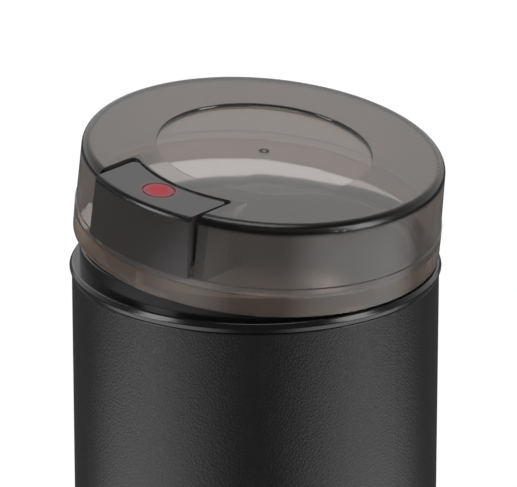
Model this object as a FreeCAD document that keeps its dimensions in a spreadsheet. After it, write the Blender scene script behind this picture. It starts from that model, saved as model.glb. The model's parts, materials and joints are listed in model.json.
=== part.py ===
import FreeCAD, Part
import math
import os
import Sketcher
from FreeCAD import Vector

# Electric spice grinder with a smoked lid, a press pad in the lid and a blade in a steel bowl.
# Millimetres and degrees. +Z is up, the floor is Z = 0 under the centre of the base,
# the press pad looks along -Y and the cord inlet along +Y.

doc = FreeCAD.newDocument("SpiceGrinder")
sheet = doc.addObject("Spreadsheet::Sheet", "Sizes")

# The sketcher counts its axes down from -1 and the points of a curve up from 0, in these orders
SKETCH_AXES = ("across", "up")
CURVE_POINTS = ("whole", "start", "end", "centre")


class Size:
    """A length or an angle that carries its number and the sheet formula behind it."""

    def __init__(self, number, formula):
        self.number = float(number)
        self.formula = formula

    def __add__(self, other):
        other = as_size(other)
        return Size(self.number + other.number, f"({self.formula} + {other.formula})")

    def __sub__(self, other):
        other = as_size(other)
        return Size(self.number - other.number, f"({self.formula} - {other.formula})")

    def __mul__(self, other):
        other = as_size(other)
        return Size(self.number * other.number, f"({self.formula} * {other.formula})")

    def __truediv__(self, other):
        other = as_size(other)
        return Size(self.number / other.number, f"({self.formula} / {other.formula})")

    def __rsub__(self, other):
        return as_size(other) - self

    def __neg__(self):
        return self * -1

    __radd__ = __add__
    __rmul__ = __mul__


def as_size(value):
    """Let a bare number stand wherever a Size can."""
    if isinstance(value, Size):
        return value
    return Size(value, f"({float(value)})")


def near(first, second, slack=1e-4):
    return abs(first - as_size(second).number) < slack


def cosine(angle):
    angle = as_size(angle)
    return Size(math.cos(math.radians(angle.number)), f"cos({angle.formula} * 1deg)")


def sine(angle):
    angle = as_size(angle)
    return Size(math.sin(math.radians(angle.number)), f"sin({angle.formula} * 1deg)")


# Fits shared by the whole appliance
fit_gap = 0.2  # between fixed mouldings that nest
seat_gap = 0.3  # between moving pieces and their seats
press_gap = 0.02  # round a pressed-in or clamped bore
running_gap = 0.05  # round a turning shaft

# Body shell and base
body_radius = 45.0  # outer radius of the body shell
body_wall = 2.2  # wall of the body shell
shell_lift = 2.0  # lower edge of the body shell above the floor
foot_height = 4.0  # underside of the base plate above the floor
foot_radius = 5.5  # radius of one rubber foot
foot_inset = 9.8  # rubber feet in from the inside of the body shell
foot_stem = 2.2  # radius of the stem of a foot
base_thickness = 2.5  # thickness of the base plate
base_boss_inset = 4.8  # base screws in from the inside of the body shell
base_boss_radius = 3.3  # radius of a screw boss in the shell
base_boss_height = 12.0  # height of a screw boss in the shell
screw_radius = 1.25  # radius of a screw shank
screw_head_radius = 2.4  # radius of a screw head
screw_head_height = 1.6  # height of a screw head
vent_inner = 12.0  # inner end of a vent slot in the base
vent_outer = 26.0  # outer end of a vent slot in the base
vent_width = 2.4  # width of a vent slot in the base
gland_height = 18.0  # centre of the cord inlet above the floor
gland_radius = 4.5  # radius of the neck of the cord gland
gland_bore = 3.2  # radius of the bore of the cord gland
gland_flange = 6.6  # radius of the flange of the cord gland

# Collar: the glossy ring, the neck that carries the lid and the bowl seat
ring_height = 150.0  # widest plane of the collar ring above the floor
ring_overhang = 0.6  # widest plane of the ring out from the body shell
ring_drop = 1.15  # depth of the ring below its widest plane
ring_lip = 0.7  # how far the lip of the ring rounds in
shadow_gap = 0.3  # shadow line between the ring and the body shell
ledge_rise = 1.2  # ledge for the lid above the widest plane of the ring
neck_rise = 6.2  # rim of the neck above the widest plane of the ring
neck_inset = 2.0  # neck in from the outside of the body shell
neck_wall = 3.3  # wall of the neck
rebate_width = 0.8  # width of the step inside the top of the shell
rebate_depth = 1.2  # depth of the step inside the top of the shell
spigot_depth = 6.5  # depth of the collar inside the body shell
spigot_wall = 3.0  # wall of the collar inside the body shell
bowl_seat_drop = 2.8  # bowl seat below the rim of the neck
bowl_seat_width = 1.4  # width of the bowl seat
bowl_seat_depth = 2.2  # thickness of the bowl seat

# Grinding bowl and blade
bowl_margin = 2.3  # inside of the bowl in from the neck's wall
bowl_wall = 0.6  # thickness of the steel of the bowl
bowl_depth = 29.2  # inside floor of the bowl below the rim of the neck
bowl_corner = 12.0  # inside radius of the lower corner of the bowl
bowl_hole = 5.7  # radius of the hole in the floor of the bowl
gasket_height = 0.6  # thickness of the gasket under the bowl rim
shaft_radius = 2.5  # radius of the rotor shaft
bush_flange = 8.0  # radius of the flange of the spindle bush
bush_flange_height = 0.8  # thickness of that flange
seal_height = 1.2  # height of the rubber spindle seal
hub_radius = 5.5  # radius of the hub under the blade
hub_height = 3.6  # height of the hub under the blade
blade_clearance = 6.4  # blade tips in from the side of the bowl
blade_width = 11.0  # width of the blade at its middle
blade_tip_width = 6.0  # width of the blade at its tips
blade_thickness = 1.6  # thickness of the blade
blade_flat = 10.0  # distance from the axis to each bend of the blade
blade_rise = 5.0  # rise of the upturned tip
blade_dip = 1.8  # drop of the downturned tip
blade_bearing = 40.0  # bearing of the blade when it is at rest
nut_radius = 4.4  # corner radius of the hexagonal blade nut
nut_height = 4.6  # height of the blade nut

# Motor deck and motor
deck_drop = 10.0  # underside of the motor deck below the floor of the bowl
deck_thickness = 3.0  # thickness of the motor deck
deck_gap = 0.4  # gap between the deck and the body shell
deck_boss = 9.0  # radius of the centre boss of the deck
deck_post_radius = 2.1  # radius of a collar post over the deck
deck_post_inset = 2.5  # collar posts in from the inside of the body shell
bush_radius = 5.5  # outer radius of a shaft bush
damper_width = 5.5  # width of the ring of the rubber motor damper
damper_side_gap = 0.5  # gap between the damper and the microswitch
damper_height = 6.0  # height of the rubber motor damper
bracket_overhang = 1.5  # how far the end brackets stand out past the stack
bracket_side_gap = 2.0  # flats of the end brackets in from the microswitch
bracket_thickness = 3.0  # thickness of an end bracket
bracket_boss = 9.0  # radius of the bearing boss of an end bracket
pillar_radius = 3.0  # radius of a pillar of an end bracket
bolt_radius = 1.5  # radius of a long motor bolt
bolt_margin = 2.4  # motor bolts in from the outside of the stack
bolt_bearing = 43.5  # bearing of the first motor bolt
boss_drop = 3.0  # how far the boss of the lower bracket hangs under it
stack_height = 30.0  # height of the stator stack
motor_margin = 12.8  # stator stack in from the inside of the body shell
bracket_rim = 2.0  # flats of the stack in from those of the brackets
stack_bore = 16.0  # bore radius of the stator stack
air_gap = 0.7  # air gap round the armature
top_pillar = 10.0  # height of the pillars on top of the stack
low_pillar = 24.5  # height of the pillars under the stack
coil_gap = 1.5  # near side of a field coil out from the bore
yoke = 6.5  # iron outside a field coil
coil_width = 6.0  # width of one leg of a field coil
coil_bolt_gap = 3.7  # field coil in from the centre of a motor bolt
coil_overhang = 5.5  # how far a coil stands out of the stack
winding_radius = 13.4  # outer radius of the armature windings
winding_height = 6.5  # height of an armature winding head
winding_bore = 4.0  # bore radius of an armature winding head
commutator_radius = 9.0  # radius of the commutator
commutator_height = 10.0  # height of the commutator
commutator_drop = 11.0  # top of the commutator below the stack
brush_width = 6.0  # width of a carbon brush
brush_height = 5.0  # height of a carbon brush
brush_length = 11.0  # length of a carbon brush
brush_gap = 0.1  # gap between a brush and the commutator
holder_wall = 1.5  # wall of a brush holder
holder_gap = 1.8  # gap between a brush holder and the commutator
holder_length = 19.2  # length of a brush holder
fan_radius = 27.0  # radius of the cooling fan
fan_height = 8.0  # height of the cooling fan
fan_gap = 3.5  # gap between the cooling fan and the lower bush
shaft_tail = 3.0  # length of the shaft under the fan

# Circuit board and switch
board_inset = 8.3  # near face of the board in from the inside of the body shell
board_thickness = 1.6  # thickness of the circuit board
board_half_width = 15.0  # half width of the circuit board
board_drop = 9.0  # top of the board below the motor deck
board_height = 38.0  # height of the circuit board
rod_inset = 2.0  # switch rod in from the outside of the neck
rod_radius = 0.9  # radius of the switch rod
rod_bore_gap = 0.15  # gap round the switch rod
rod_stand = 3.1  # how far the rod stands out of the rim
rod_tail = 5.0  # lower end of the switch rod below the deck
rod_flange = 1.4  # radius of the spring flange of the rod
rod_spring_height = 13.0  # height of the rod spring on the deck
switch_inset = 15.0  # near end of the microswitch in from the rod
switch_length = 12.0  # length of the microswitch
switch_half_width = 3.2  # half width of the microswitch
switch_drop = 9.0  # top of the microswitch below the deck
switch_height = 9.0  # height of the microswitch
lever_arm = 13.8  # pivot of the switch lever in from the rod
lever_pivot_rise = 1.7  # pivot of the lever above the microswitch
lever_thickness = 0.4  # thickness of the switch lever
lever_half_width = 2.2  # half width of the switch lever

# Lid, in its own frame: closed, axis upright, lower edge at zero
lid_height = 23.65  # height of the lid
lid_draft = 0.4  # how far the lid's wall draws in up to its top
band_step = 0.25  # how far the band stands out of the wall above it
lid_wall = 1.6  # wall of the lid
lid_plate = 1.9  # thickness of the top plate of the lid
lid_round = 2.4  # rounding of the top edge of the lid
band_wall = 1.6  # wall of the lower band of the lid
band_height = 7.3  # height of the lower band of the lid
recess_radius = 26.4  # radius of the recess in the top of the lid
recess_depth = 0.8  # depth of the recess in the top of the lid
gate_radius = 1.0  # radius of the gate mark in the recess
lug_bearing = -5.0  # bearing of the lug that the lid leans on
lug_width = 8.5  # width of a lid lug
lug_height = 3.0  # height of a lid lug
lug_bottom = 0.6  # lower face of a lid lug above the lid's lower edge
lug_depth = 1.0  # how far a lug stands in from the lid wall
lid_lean = 6.95  # lean of the lid as it rests on one lug

# Press pad, its pocket in the lid and its springs, all in the frame of the lid
slot_half_width = 16.2  # half width of the slot for the pad
slot_depth = 12.3  # inner end of the slot in from the outside of the band
slot_corner = 1.4  # corner radius at the inner end of the slot
pocket_wall = 1.3  # wall of the pocket round the pad
pocket_clearance = 2.0  # underside of the pocket above the neck of a shut grinder
pad_travel = 3.0  # travel of the press pad
pad_proud = 1.3  # front of the pad out from the band of the lid
pad_skirt_wall = 1.0  # wall of the front skirt of the pad
pad_taper = 1.0  # how much each side of the pad draws in at the top
pad_drop = 0.4  # top of the pad below the top of the lid
pad_wall = 1.4  # walls of the pad
pad_plate = 2.0  # thickness of the top of the pad
pad_side_gap = 0.5  # side walls of the pressed pad above the pocket floor
skirt_drop = 0.3  # lower edge of the front skirt below the pocket floor
pad_edge_round = 1.1  # rounding of the front edge of the pad
mark_radius = 4.05  # radius of the round mark on the pad
mark_line = 0.35  # width of the line of that mark
mark_depth = 0.3  # depth of the line of that mark
mark_inset = 7.1  # centre of that mark in from the outside of the band
leg_radius = 1.5  # radius of the leg that presses the rod
post_x = 9.5  # guide posts of the pad along X
post_inset = 6.3  # guide posts in from the outside of the band
post_radius = 1.45  # radius of a guide post
guide_wall = 1.05  # wall of a guide bushing in the pocket
guide_height = 4.0  # height of a guide bushing over the pocket floor
stop_height = 2.2  # stop shoulder above the pocket floor
stop_head_radius = 2.1  # radius of the stop screw head
stop_head_height = 0.9  # height of the stop screw head
spring_wire = 0.3  # radius of the wire of a pad spring
spring_radius = 3.25  # coil radius of a pad spring

# Each driving dimension above goes in the sheet, and from here on is a Size bound to its cell
driving_names = [name for name, value in globals().items() if isinstance(value, float)]
for row, name in enumerate(driving_names, 1):
    number = globals()[name]
    sheet.set(f"A{row}", name.replace("_", " "))
    sheet.set(f"B{row}", str(number))
    sheet.setAlias(f"B{row}", name)
    globals()[name] = Size(number, f"Sizes.{name}")

doc.recompute()

# Radii that follow the body shell
shell_inner = body_radius - body_wall
ring_radius = body_radius + ring_overhang
neck_radius = body_radius - neck_inset
mouth_radius = neck_radius - neck_wall
bowl_radius = mouth_radius - bowl_margin
blade_reach = bowl_radius - blade_clearance
deck_post_circle = shell_inner - deck_post_inset
base_screw_circle = shell_inner - base_boss_inset
foot_circle = shell_inner - foot_inset
board_y = shell_inner - board_inset
rod_circle = neck_radius - rod_inset
switch_near = rod_circle - switch_inset
lever_pivot_y = rod_circle - lever_arm
damper_outer = switch_near - damper_side_gap
damper_inner = damper_outer - damper_width
stack_radius = shell_inner - motor_margin
bracket_radius = stack_radius + bracket_overhang
bracket_flat = switch_near - bracket_side_gap
stack_flat = bracket_flat - bracket_rim
coil_near = stack_bore + coil_gap
coil_depth = stack_radius - yoke - coil_near
holder_near = commutator_radius + holder_gap
holder_far = holder_near + holder_length
shaft_bore = shaft_radius + press_gap
bolt_x = (stack_radius - bolt_margin) * cosine(bolt_bearing)
bolt_y = (stack_radius - bolt_margin) * sine(bolt_bearing)
coil_half_outer = bolt_y - coil_bolt_gap
coil_half_inner = coil_half_outer - coil_width

# Heights, from the ring down through the bowl and the deck to the motor
shell_top = ring_height - ring_drop - shadow_gap
rebate_floor = shell_top - rebate_depth
ledge = ring_height + ledge_rise
rim = ring_height + neck_rise
bowl_seat = rim - bowl_seat_drop
bowl_floor = rim - bowl_depth
deck_height = bowl_floor - deck_drop
deck_top = deck_height + deck_thickness
bracket_high = deck_height - damper_height - bracket_thickness
stack_top = bracket_high - top_pillar
stack_bottom = stack_top - stack_height
bracket_low_top = stack_bottom - low_pillar
commutator_top = stack_bottom - commutator_drop
lower_boss = bracket_low_top - bracket_thickness - boss_drop
fan_bottom = lower_boss - fan_gap - fan_height
shaft_bottom = fan_bottom - shaft_tail
board_bottom = deck_height - board_drop - board_height
switch_bottom = deck_height - switch_drop - switch_height
switch_top = switch_bottom + switch_height
lever_pivot_z = switch_top + lever_pivot_rise
rod_top = rim + rod_stand
rod_bottom = deck_height - rod_tail
rod_flange_height = deck_top + rod_spring_height
base_top = foot_height + base_thickness

# The lid and its pad, in the frame of the lid
lid_seat = ledge + seat_gap
lid_inner = neck_radius + seat_gap
band_radius = lid_inner + band_wall
lid_low_radius = band_radius - band_step
lid_top_radius = lid_low_radius - lid_draft
slot_inner = band_radius - slot_depth
pocket_low = rim - lid_seat + pocket_clearance
pocket_floor = pocket_low + pocket_wall
pad_radius = band_radius + pad_proud
pad_top = lid_height - pad_drop
pad_half_width = slot_half_width - seat_gap
pad_inner = slot_inner + seat_gap
pad_ceiling = pad_top - pad_plate
pad_side_bottom = pocket_floor + pad_travel + pad_side_gap
pad_skirt_bottom = pocket_floor - skirt_drop
skirt_inner = pad_radius - pad_skirt_wall
leg_bottom = rod_top - lid_seat + seat_gap
stop_z = pocket_floor + stop_height
post_y = band_radius - post_inset
mark_circle = band_radius - mark_inset


def new_body(label):
    body = doc.addObject("PartDesign::Body", "Body")
    body.Label = label
    return body


def origin_plane(body, role):
    for feature in body.Origin.OriginFeatures:
        if feature.Role == role:
            return feature
    raise RuntimeError(f"{body.Label} has no {role}")


def new_sketch(body, role, lift=None):
    """Attach a sketch to an origin plane of its own body, lifted along the normal."""
    sketch = body.newObject("Sketcher::SketchObject", "Sketch")
    sketch.AttachmentSupport = [(origin_plane(body, role), "")]
    sketch.MapMode = "FlatFace"
    if lift is not None:
        sketch.setExpression("AttachmentOffset.Base.z", as_size(lift).formula)
    return sketch


def sketch_axis(name):
    return -1 - SKETCH_AXES.index(name)


def curve_point(name):
    return CURVE_POINTS.index(name)


def join(sketch, first, first_point, second, second_point):
    """Make two points of a sketch coincide, each named start, end or centre."""
    sketch.addConstraint(Sketcher.Constraint("Coincident", first, curve_point(first_point),
                                             second, curve_point(second_point)))


def pin(sketch, kind, geometry, point, value):
    """Fix one coordinate of a sketch point from the sketch's origin."""
    value = as_size(value)
    origin = sketch_axis("across"), curve_point("start")
    spot = geometry, curve_point(point)
    if near(value.number, 0):
        axis = sketch_axis("up" if kind == "DistanceX" else "across")
        sketch.addConstraint(Sketcher.Constraint("PointOnObject", *spot, axis))
        return
    if value.number > 0:
        rule = Sketcher.Constraint(kind, *origin, *spot, value.number)
        formula = value.formula
    else:
        rule = Sketcher.Constraint(kind, *spot, *origin, -value.number)
        formula = (-value).formula
    index = sketch.addConstraint(rule)
    sketch.setExpression(f"Constraints[{index}]", formula)


def pin_point(sketch, geometry, point, place):
    pin(sketch, "DistanceX", geometry, point, place[0])
    pin(sketch, "DistanceY", geometry, point, place[1])


def pin_radius(sketch, geometry, radius):
    index = sketch.addConstraint(Sketcher.Constraint("Radius", geometry, radius.number))
    sketch.setExpression(f"Constraints[{index}]", radius.formula)


def flat_point(place):
    return Vector(as_size(place[0]).number, as_size(place[1]).number, 0)


def draw_outline(sketch, corners):
    """Draw a closed run of straight lines and pin each corner to its two sizes."""
    first = sketch.GeometryCount
    count = len(corners)
    for index, corner in enumerate(corners):
        following = corners[(index + 1) % count]
        sketch.addGeometry(Part.LineSegment(flat_point(corner), flat_point(following)), False)
    for index in range(count):
        after = first + (index + 1) % count
        join(sketch, first + index, "end", after, "start")
    for index, corner in enumerate(corners):
        pin_point(sketch, first + index, "start", corner)


def draw_circle(sketch, centre, radius):
    radius = as_size(radius)
    circle = Part.Circle(flat_point(centre), Vector(0, 0, 1), radius.number)
    geometry = sketch.addGeometry(circle, False)
    pin_point(sketch, geometry, "centre", centre)
    pin_radius(sketch, geometry, radius)


def draw_rectangle(sketch, x_low, x_high, y_low, y_high):
    draw_outline(sketch, [(x_low, y_low), (x_high, y_low), (x_high, y_high), (x_low, y_high)])


def draw_arc_block(sketch, inner, outer, half_width):
    """Draw a block between two arcs round the axis with straight sides, facing -Y."""
    inner = as_size(inner)
    outer = as_size(outer)
    half_width = as_size(half_width)
    normal = Vector(0, 0, 1)
    ends = []
    for radius in (inner, outer):
        reach = math.sqrt(radius.number ** 2 - half_width.number ** 2)
        start = math.atan2(-reach, -half_width.number)
        stop = math.atan2(-reach, half_width.number)
        arc = Part.ArcOfCircle(Part.Circle(Vector(0, 0, 0), normal, radius.number), start, stop)
        ends.append((sketch.addGeometry(arc, False), reach, radius))
    (near_arc, near_reach, _), (far_arc, far_reach, _) = ends
    sides = []
    for side in (-1, 1):
        x = side * half_width.number
        line = Part.LineSegment(Vector(x, -near_reach, 0), Vector(x, -far_reach, 0))
        sides.append(sketch.addGeometry(line, False))
    for arc, _, radius in ends:
        join(sketch, arc, "centre", sketch_axis("across"), "start")
        pin_radius(sketch, arc, radius)
    for line, end in zip(sides, ("start", "end")):
        join(sketch, line, "start", near_arc, end)
        join(sketch, line, "end", far_arc, end)
    for line, side in zip(sides, (-1, 1)):
        pin(sketch, "DistanceX", line, "start", side * half_width)
        pin(sketch, "DistanceX", line, "end", side * half_width)


def new_feature(body, kind, sketch):
    feature = body.newObject(f"PartDesign::{kind}", kind)
    feature.Profile = sketch
    body.Tip = feature
    return feature


def turn(body, corners):
    """Revolve an outline of (radius, height) corners about the body's Z axis."""
    sketch = new_sketch(body, "XZ_Plane")
    draw_outline(sketch, corners)
    feature = new_feature(body, "Revolution", sketch)
    feature.ReferenceAxis = (sketch, ["V_Axis"])
    feature.Angle = 360
    return feature


def turn_away(body, corners):
    """Cut a groove with an outline of (radius, height) corners about the Z axis."""
    before = volume_of(body)
    sketch = new_sketch(body, "XZ_Plane")
    draw_outline(sketch, corners)
    feature = new_feature(body, "Groove", sketch)
    feature.ReferenceAxis = (sketch, ["V_Axis"])
    feature.Angle = 360
    require_cut(body, before)
    return feature


def pad(body, role, lift, length, draw, midplane=False):
    """Extrude what draw puts in a sketch along the plane's normal."""
    sketch = new_sketch(body, role, lift)
    draw(sketch)
    feature = new_feature(body, "Pad", sketch)
    feature.setExpression("Length", as_size(length).formula)
    feature.Midplane = midplane
    return feature


def pocket(body, role, lift, length, draw, upward=True, midplane=False):
    """Cut what draw puts in a sketch, along the plane's normal or against it."""
    before = volume_of(body)
    sketch = new_sketch(body, role, lift)
    draw(sketch)
    feature = new_feature(body, "Pocket", sketch)
    feature.setExpression("Length", as_size(length).formula)
    feature.Midplane = midplane
    feature.Reversed = upward and not midplane
    require_cut(body, before)
    return feature


def repeat_round(body, feature, count):
    """Repeat one feature evenly round the Z axis of its sketch."""
    pattern = body.newObject("PartDesign::PolarPattern", "PolarPattern")
    pattern.Originals = [feature]
    pattern.Axis = (feature.Profile[0], ["N_Axis"])
    pattern.Angle = 360
    pattern.Occurrences = count
    body.Tip = pattern
    return pattern


def volume_of(body):
    doc.recompute()
    return body.Shape.Volume


def require_cut(body, before):
    if volume_of(body) > before - 1e-6:
        raise RuntimeError(f"a cut in {body.Label} removed nothing")


def round_edge(radius, height):
    """Pick circular edges round the Z axis by their radius and height."""
    def wanted(edge):
        if not isinstance(edge.Curve, Part.Circle):
            return False
        centre = edge.Curve.Center
        on_axis = near(centre.x, 0) and near(centre.y, 0)
        return on_axis and near(edge.Curve.Radius, radius) and near(centre.z, height)
    return wanted


def upright_edge(place):
    """Pick straight upright edges by their place in plan."""
    def wanted(edge):
        if not isinstance(edge.Curve, (Part.Line, Part.LineSegment)):
            return False
        low = edge.Vertexes[0].Point
        high = edge.Vertexes[-1].Point
        upright = near(low.x, high.x) and near(low.y, high.y)
        return upright and near(low.x, place[0]) and near(low.y, place[1])
    return wanted


def edge_between_faces_at(radius):
    """Pick steep edges whose two ends both lie at one radius from the Z axis."""
    def wanted(edge):
        ends = [vertex.Point for vertex in edge.Vertexes]
        if len(ends) != 2 or abs(ends[0].z - ends[1].z) < 1:
            return False
        return all(near(math.hypot(end.x, end.y), radius) for end in ends)
    return wanted


def dress(body, kind, size_name, size, *choices):
    """Round or chamfer the edges that any of the choices picks."""
    doc.recompute()
    base = body.Tip
    names = []
    for number, edge in enumerate(base.Shape.Edges, 1):
        if any(wanted(edge) for wanted in choices):
            names.append(f"Edge{number}")
    if not names:
        raise RuntimeError(f"{body.Label} has no edge to {kind.lower()}")
    feature = body.newObject(f"PartDesign::{kind}", kind)
    feature.Base = (base, names)
    feature.setExpression(size_name, as_size(size).formula)
    body.Tip = feature
    return feature


def fillet(body, radius, *choices):
    return dress(body, "Fillet", "Radius", radius, *choices)


def chamfer(body, size, *choices):
    return dress(body, "Chamfer", "Size", size, *choices)


def at_bearing(radius, bearing, sideways=0):
    """Plan coordinates of a point out along a bearing and off to its left."""
    x = radius * cosine(bearing) - sideways * sine(bearing)
    y = radius * sine(bearing) + sideways * cosine(bearing)
    return as_size(x), as_size(y)


def draw_radial_block(sketch, inner, outer, width, bearing):
    half = as_size(width) / 2
    corners = [(inner, -half), (outer, -half), (outer, half), (inner, half)]
    draw_outline(sketch, [at_bearing(reach, bearing, side) for reach, side in corners])


def place_at(item, x=None, y=None, z=None):
    for axis, value in (("x", x), ("y", y), ("z", z)):
        if value is not None:
            item.setExpression(f"Placement.Base.{axis}", as_size(value).formula)


def turn_to(item, bearing):
    item.setExpression("Placement.Rotation.Angle", f"{as_size(bearing).formula} * 1deg")


def lean_with_lid(item):
    """Seat a piece drawn in the lid's frame, leant over about the foot of the lid's lug."""
    axis = f"vector({(-sine(lug_bearing)).formula}; {cosine(lug_bearing).formula}; 0)"
    foot_x, foot_y = at_bearing(band_radius, lug_bearing)
    lean = f"rotation({axis}; {lid_lean.formula} * 1deg)"
    seat = f"vector(0; 0; {lid_seat.formula})"
    foot = f"vector({foot_x.formula}; {foot_y.formula}; 0)"
    item.setExpression("Placement", f"placement({seat}; {lean}; {foot})")


def coil_spring(label, coil_radius, wire_radius, height, turns):
    """Wind an upright compression spring, its wire's first centre one wire above zero."""
    body = new_body(label)
    sketch = new_sketch(body, "XZ_Plane")
    draw_circle(sketch, (coil_radius, wire_radius), wire_radius)
    feature = new_feature(body, "AdditiveHelix", sketch)
    feature.ReferenceAxis = (sketch, ["V_Axis"])
    feature.Mode = "height-turns-angle"
    feature.setExpression("Height", (height - wire_radius * 2).formula)
    feature.Turns = turns
    return body


# Body shell: a textured tube, stepped inside at the top, with three screw bosses low down
base_screw_bearings = (60, 180, 300)


def make_body_shell():
    body = new_body("body_shell")
    rebate_radius = shell_inner + rebate_width
    turn(body, [
        (shell_inner, shell_lift),
        (body_radius, shell_lift),
        (body_radius, shell_top),
        (rebate_radius, shell_top),
        (rebate_radius, rebate_floor),
        (shell_inner, rebate_floor),
    ])
    fillet(body, 0.4, round_edge(body_radius, shell_top))
    fillet(body, 0.9, round_edge(body_radius, shell_lift))
    for bearing in base_screw_bearings:
        rib_end = body_radius - body_wall / 2

        def draw_rib(sketch):
            draw_radial_block(sketch, base_screw_circle, rib_end, body_wall, bearing)

        def draw_boss(sketch):
            draw_circle(sketch, at_bearing(base_screw_circle, bearing), base_boss_radius)

        def draw_pilot(sketch):
            draw_circle(sketch, at_bearing(base_screw_circle, bearing), screw_radius + press_gap)

        pad(body, "XY_Plane", base_top, base_boss_height, draw_rib)
        pad(body, "XY_Plane", base_top, base_boss_height, draw_boss)
        pocket(body, "XY_Plane", base_top, base_boss_height - body_wall, draw_pilot)
    flat = body_radius - body_wall / 3
    centre = (0, gland_height)
    pocket(body, "XZ_Plane", -flat, body_wall, upward=False,
           draw=lambda sketch: draw_circle(sketch, centre, gland_flange + fit_gap))
    pocket(body, "XZ_Plane", -(shell_inner - body_wall), body_wall * 3, upward=False,
           draw=lambda sketch: draw_circle(sketch, centre, gland_radius + fit_gap))
    return body


# Cord gland: a flanged bush in the rear of the shell, open through its bore
def make_cord_gland():
    body = new_body("cord_gland")
    flat = body_radius - body_wall / 3
    neck_end = shell_inner - body_wall * 2
    flange_end = body_radius + body_wall / 2
    turn(body, [
        (gland_bore, neck_end),
        (gland_radius, neck_end),
        (gland_radius, flat),
        (gland_flange, flat),
        (gland_flange, flange_end),
        (gland_bore, flange_end),
    ])
    fillet(body, 0.6, round_edge(gland_flange, flange_end), round_edge(gland_bore, flange_end))
    body.Placement.Rotation = FreeCAD.Rotation(Vector(1, 0, 0), -90)
    place_at(body, z=gland_height)
    return body


# Base plate with its vent slots, screws and rubber feet
foot_bearings = (45, 135, 225, 315)
VENT_COUNT = 12


def make_base_plate():
    body = new_body("base_plate")
    edge = shell_inner - fit_gap
    turn(body, [(0, foot_height), (edge, foot_height), (edge, base_top), (0, base_top)])
    fillet(body, 0.5, round_edge(edge, foot_height))
    vent = pocket(body, "XY_Plane", foot_height, base_thickness,
                  draw=lambda sketch: draw_radial_block(sketch, vent_inner, vent_outer, vent_width, 0))
    repeat_round(body, vent, VENT_COUNT)
    holes = [(foot_circle, bearing, foot_stem + press_gap) for bearing in foot_bearings]
    holes += [(base_screw_circle, bearing, screw_radius + fit_gap) for bearing in base_screw_bearings]

    def draw_holes(sketch):
        for reach, bearing, radius in holes:
            draw_circle(sketch, at_bearing(reach, bearing), radius)

    pocket(body, "XY_Plane", foot_height, base_thickness, draw_holes)
    return body


def make_screw(label, head_bottom, length, head_radius=screw_head_radius):
    """Turn a pan-head screw that points up, its head's lower face at head_bottom."""
    body = new_body(label)
    head_top = head_bottom + screw_head_height
    tip = head_top + length
    turn(body, [
        (0, head_bottom),
        (head_radius, head_bottom),
        (head_radius, head_top),
        (screw_radius, head_top),
        (screw_radius, tip),
        (0, tip),
    ])
    fillet(body, 0.6, round_edge(head_radius, head_bottom))
    chamfer(body, 0.5, round_edge(screw_radius, tip))
    slot = head_radius * 1.1
    for bearing in (0, 90):
        pocket(body, "XY_Plane", head_bottom, screw_head_height / 2,
               draw=lambda sketch: draw_radial_block(sketch, -slot / 2, slot / 2, 0.6, bearing))
    return body


def make_base_screws():
    screws = []
    for number, bearing in enumerate(base_screw_bearings, 1):
        length = base_thickness + base_boss_height - body_wall * 2
        screw = make_screw(f"base_screw_{number}", foot_height - screw_head_height, length)
        x, y = at_bearing(base_screw_circle, bearing)
        place_at(screw, x, y)
        screws.append(screw)
    return screws


def make_rubber_feet():
    feet = []
    for number, bearing in enumerate(foot_bearings, 1):
        body = new_body(f"rubber_foot_{number}")
        stem_top = base_top + 1
        turn(body, [
            (0, 0),
            (foot_radius, 0),
            (foot_radius, foot_height),
            (foot_stem, foot_height),
            (foot_stem, stem_top),
            (0, stem_top),
        ])
        fillet(body, 0.8, round_edge(foot_radius, 0))
        x, y = at_bearing(foot_circle, bearing)
        place_at(body, x, y)
        feet.append(body)
    return feet


# Collar: ring, neck, bowl seat, spigot, posts for the deck, lug notches and rod bore
deck_post_bearings = (60, 180, 300)


def make_collar():
    body = new_body("collar")
    flange = shell_inner + rebate_width - fit_gap
    spigot = shell_inner - fit_gap
    spigot_low = rebate_floor - spigot_depth
    under_ring = ring_height - ring_drop
    seat_inner = mouth_radius - bowl_seat_width
    seat_under = bowl_seat - bowl_seat_depth
    turn(body, [
        (mouth_radius, rim),
        (neck_radius, rim),
        (neck_radius, ledge),
        (ring_radius - ring_lip, ledge),
        (ring_radius, ring_height),
        (ring_radius - ring_lip / 2, under_ring),
        (flange, under_ring),
        (flange, rebate_floor),
        (spigot, rebate_floor),
        (spigot, spigot_low),
        (spigot - spigot_wall, spigot_low),
        (spigot - spigot_wall, seat_under),
        (seat_inner, seat_under),
        (seat_inner, bowl_seat),
        (mouth_radius, bowl_seat),
    ])
    fillet(body, 0.7, round_edge(neck_radius, rim), round_edge(mouth_radius, rim))
    fillet(body, 0.5, round_edge(ring_radius - ring_lip, ledge), round_edge(ring_radius, ring_height))
    post_length = spigot_low - deck_top + 1

    def draw_posts(sketch):
        for bearing in deck_post_bearings:
            draw_circle(sketch, at_bearing(deck_post_circle, bearing), deck_post_radius)

    def draw_pilots(sketch):
        for bearing in deck_post_bearings:
            draw_circle(sketch, at_bearing(deck_post_circle, bearing), screw_radius + press_gap)

    pad(body, "XY_Plane", deck_top, post_length, draw_posts)
    pocket(body, "XY_Plane", deck_top, post_length / 2, draw_pilots)
    notch_width = lug_width + seat_gap * 4
    notch_floor = lid_inner - lug_depth - seat_gap * 1.5
    for bearing in (lug_bearing, lug_bearing + 180):
        pocket(body, "XY_Plane", ledge, neck_rise,
               draw=lambda sketch: draw_radial_block(sketch, notch_floor, ring_radius, notch_width,
                                                     bearing))
    bore = rod_radius + rod_bore_gap
    pocket(body, "XY_Plane", spigot_low - 1, rim - spigot_low + 2,
           draw=lambda sketch: draw_circle(sketch, (0, -rod_circle), bore))
    return body


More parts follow.
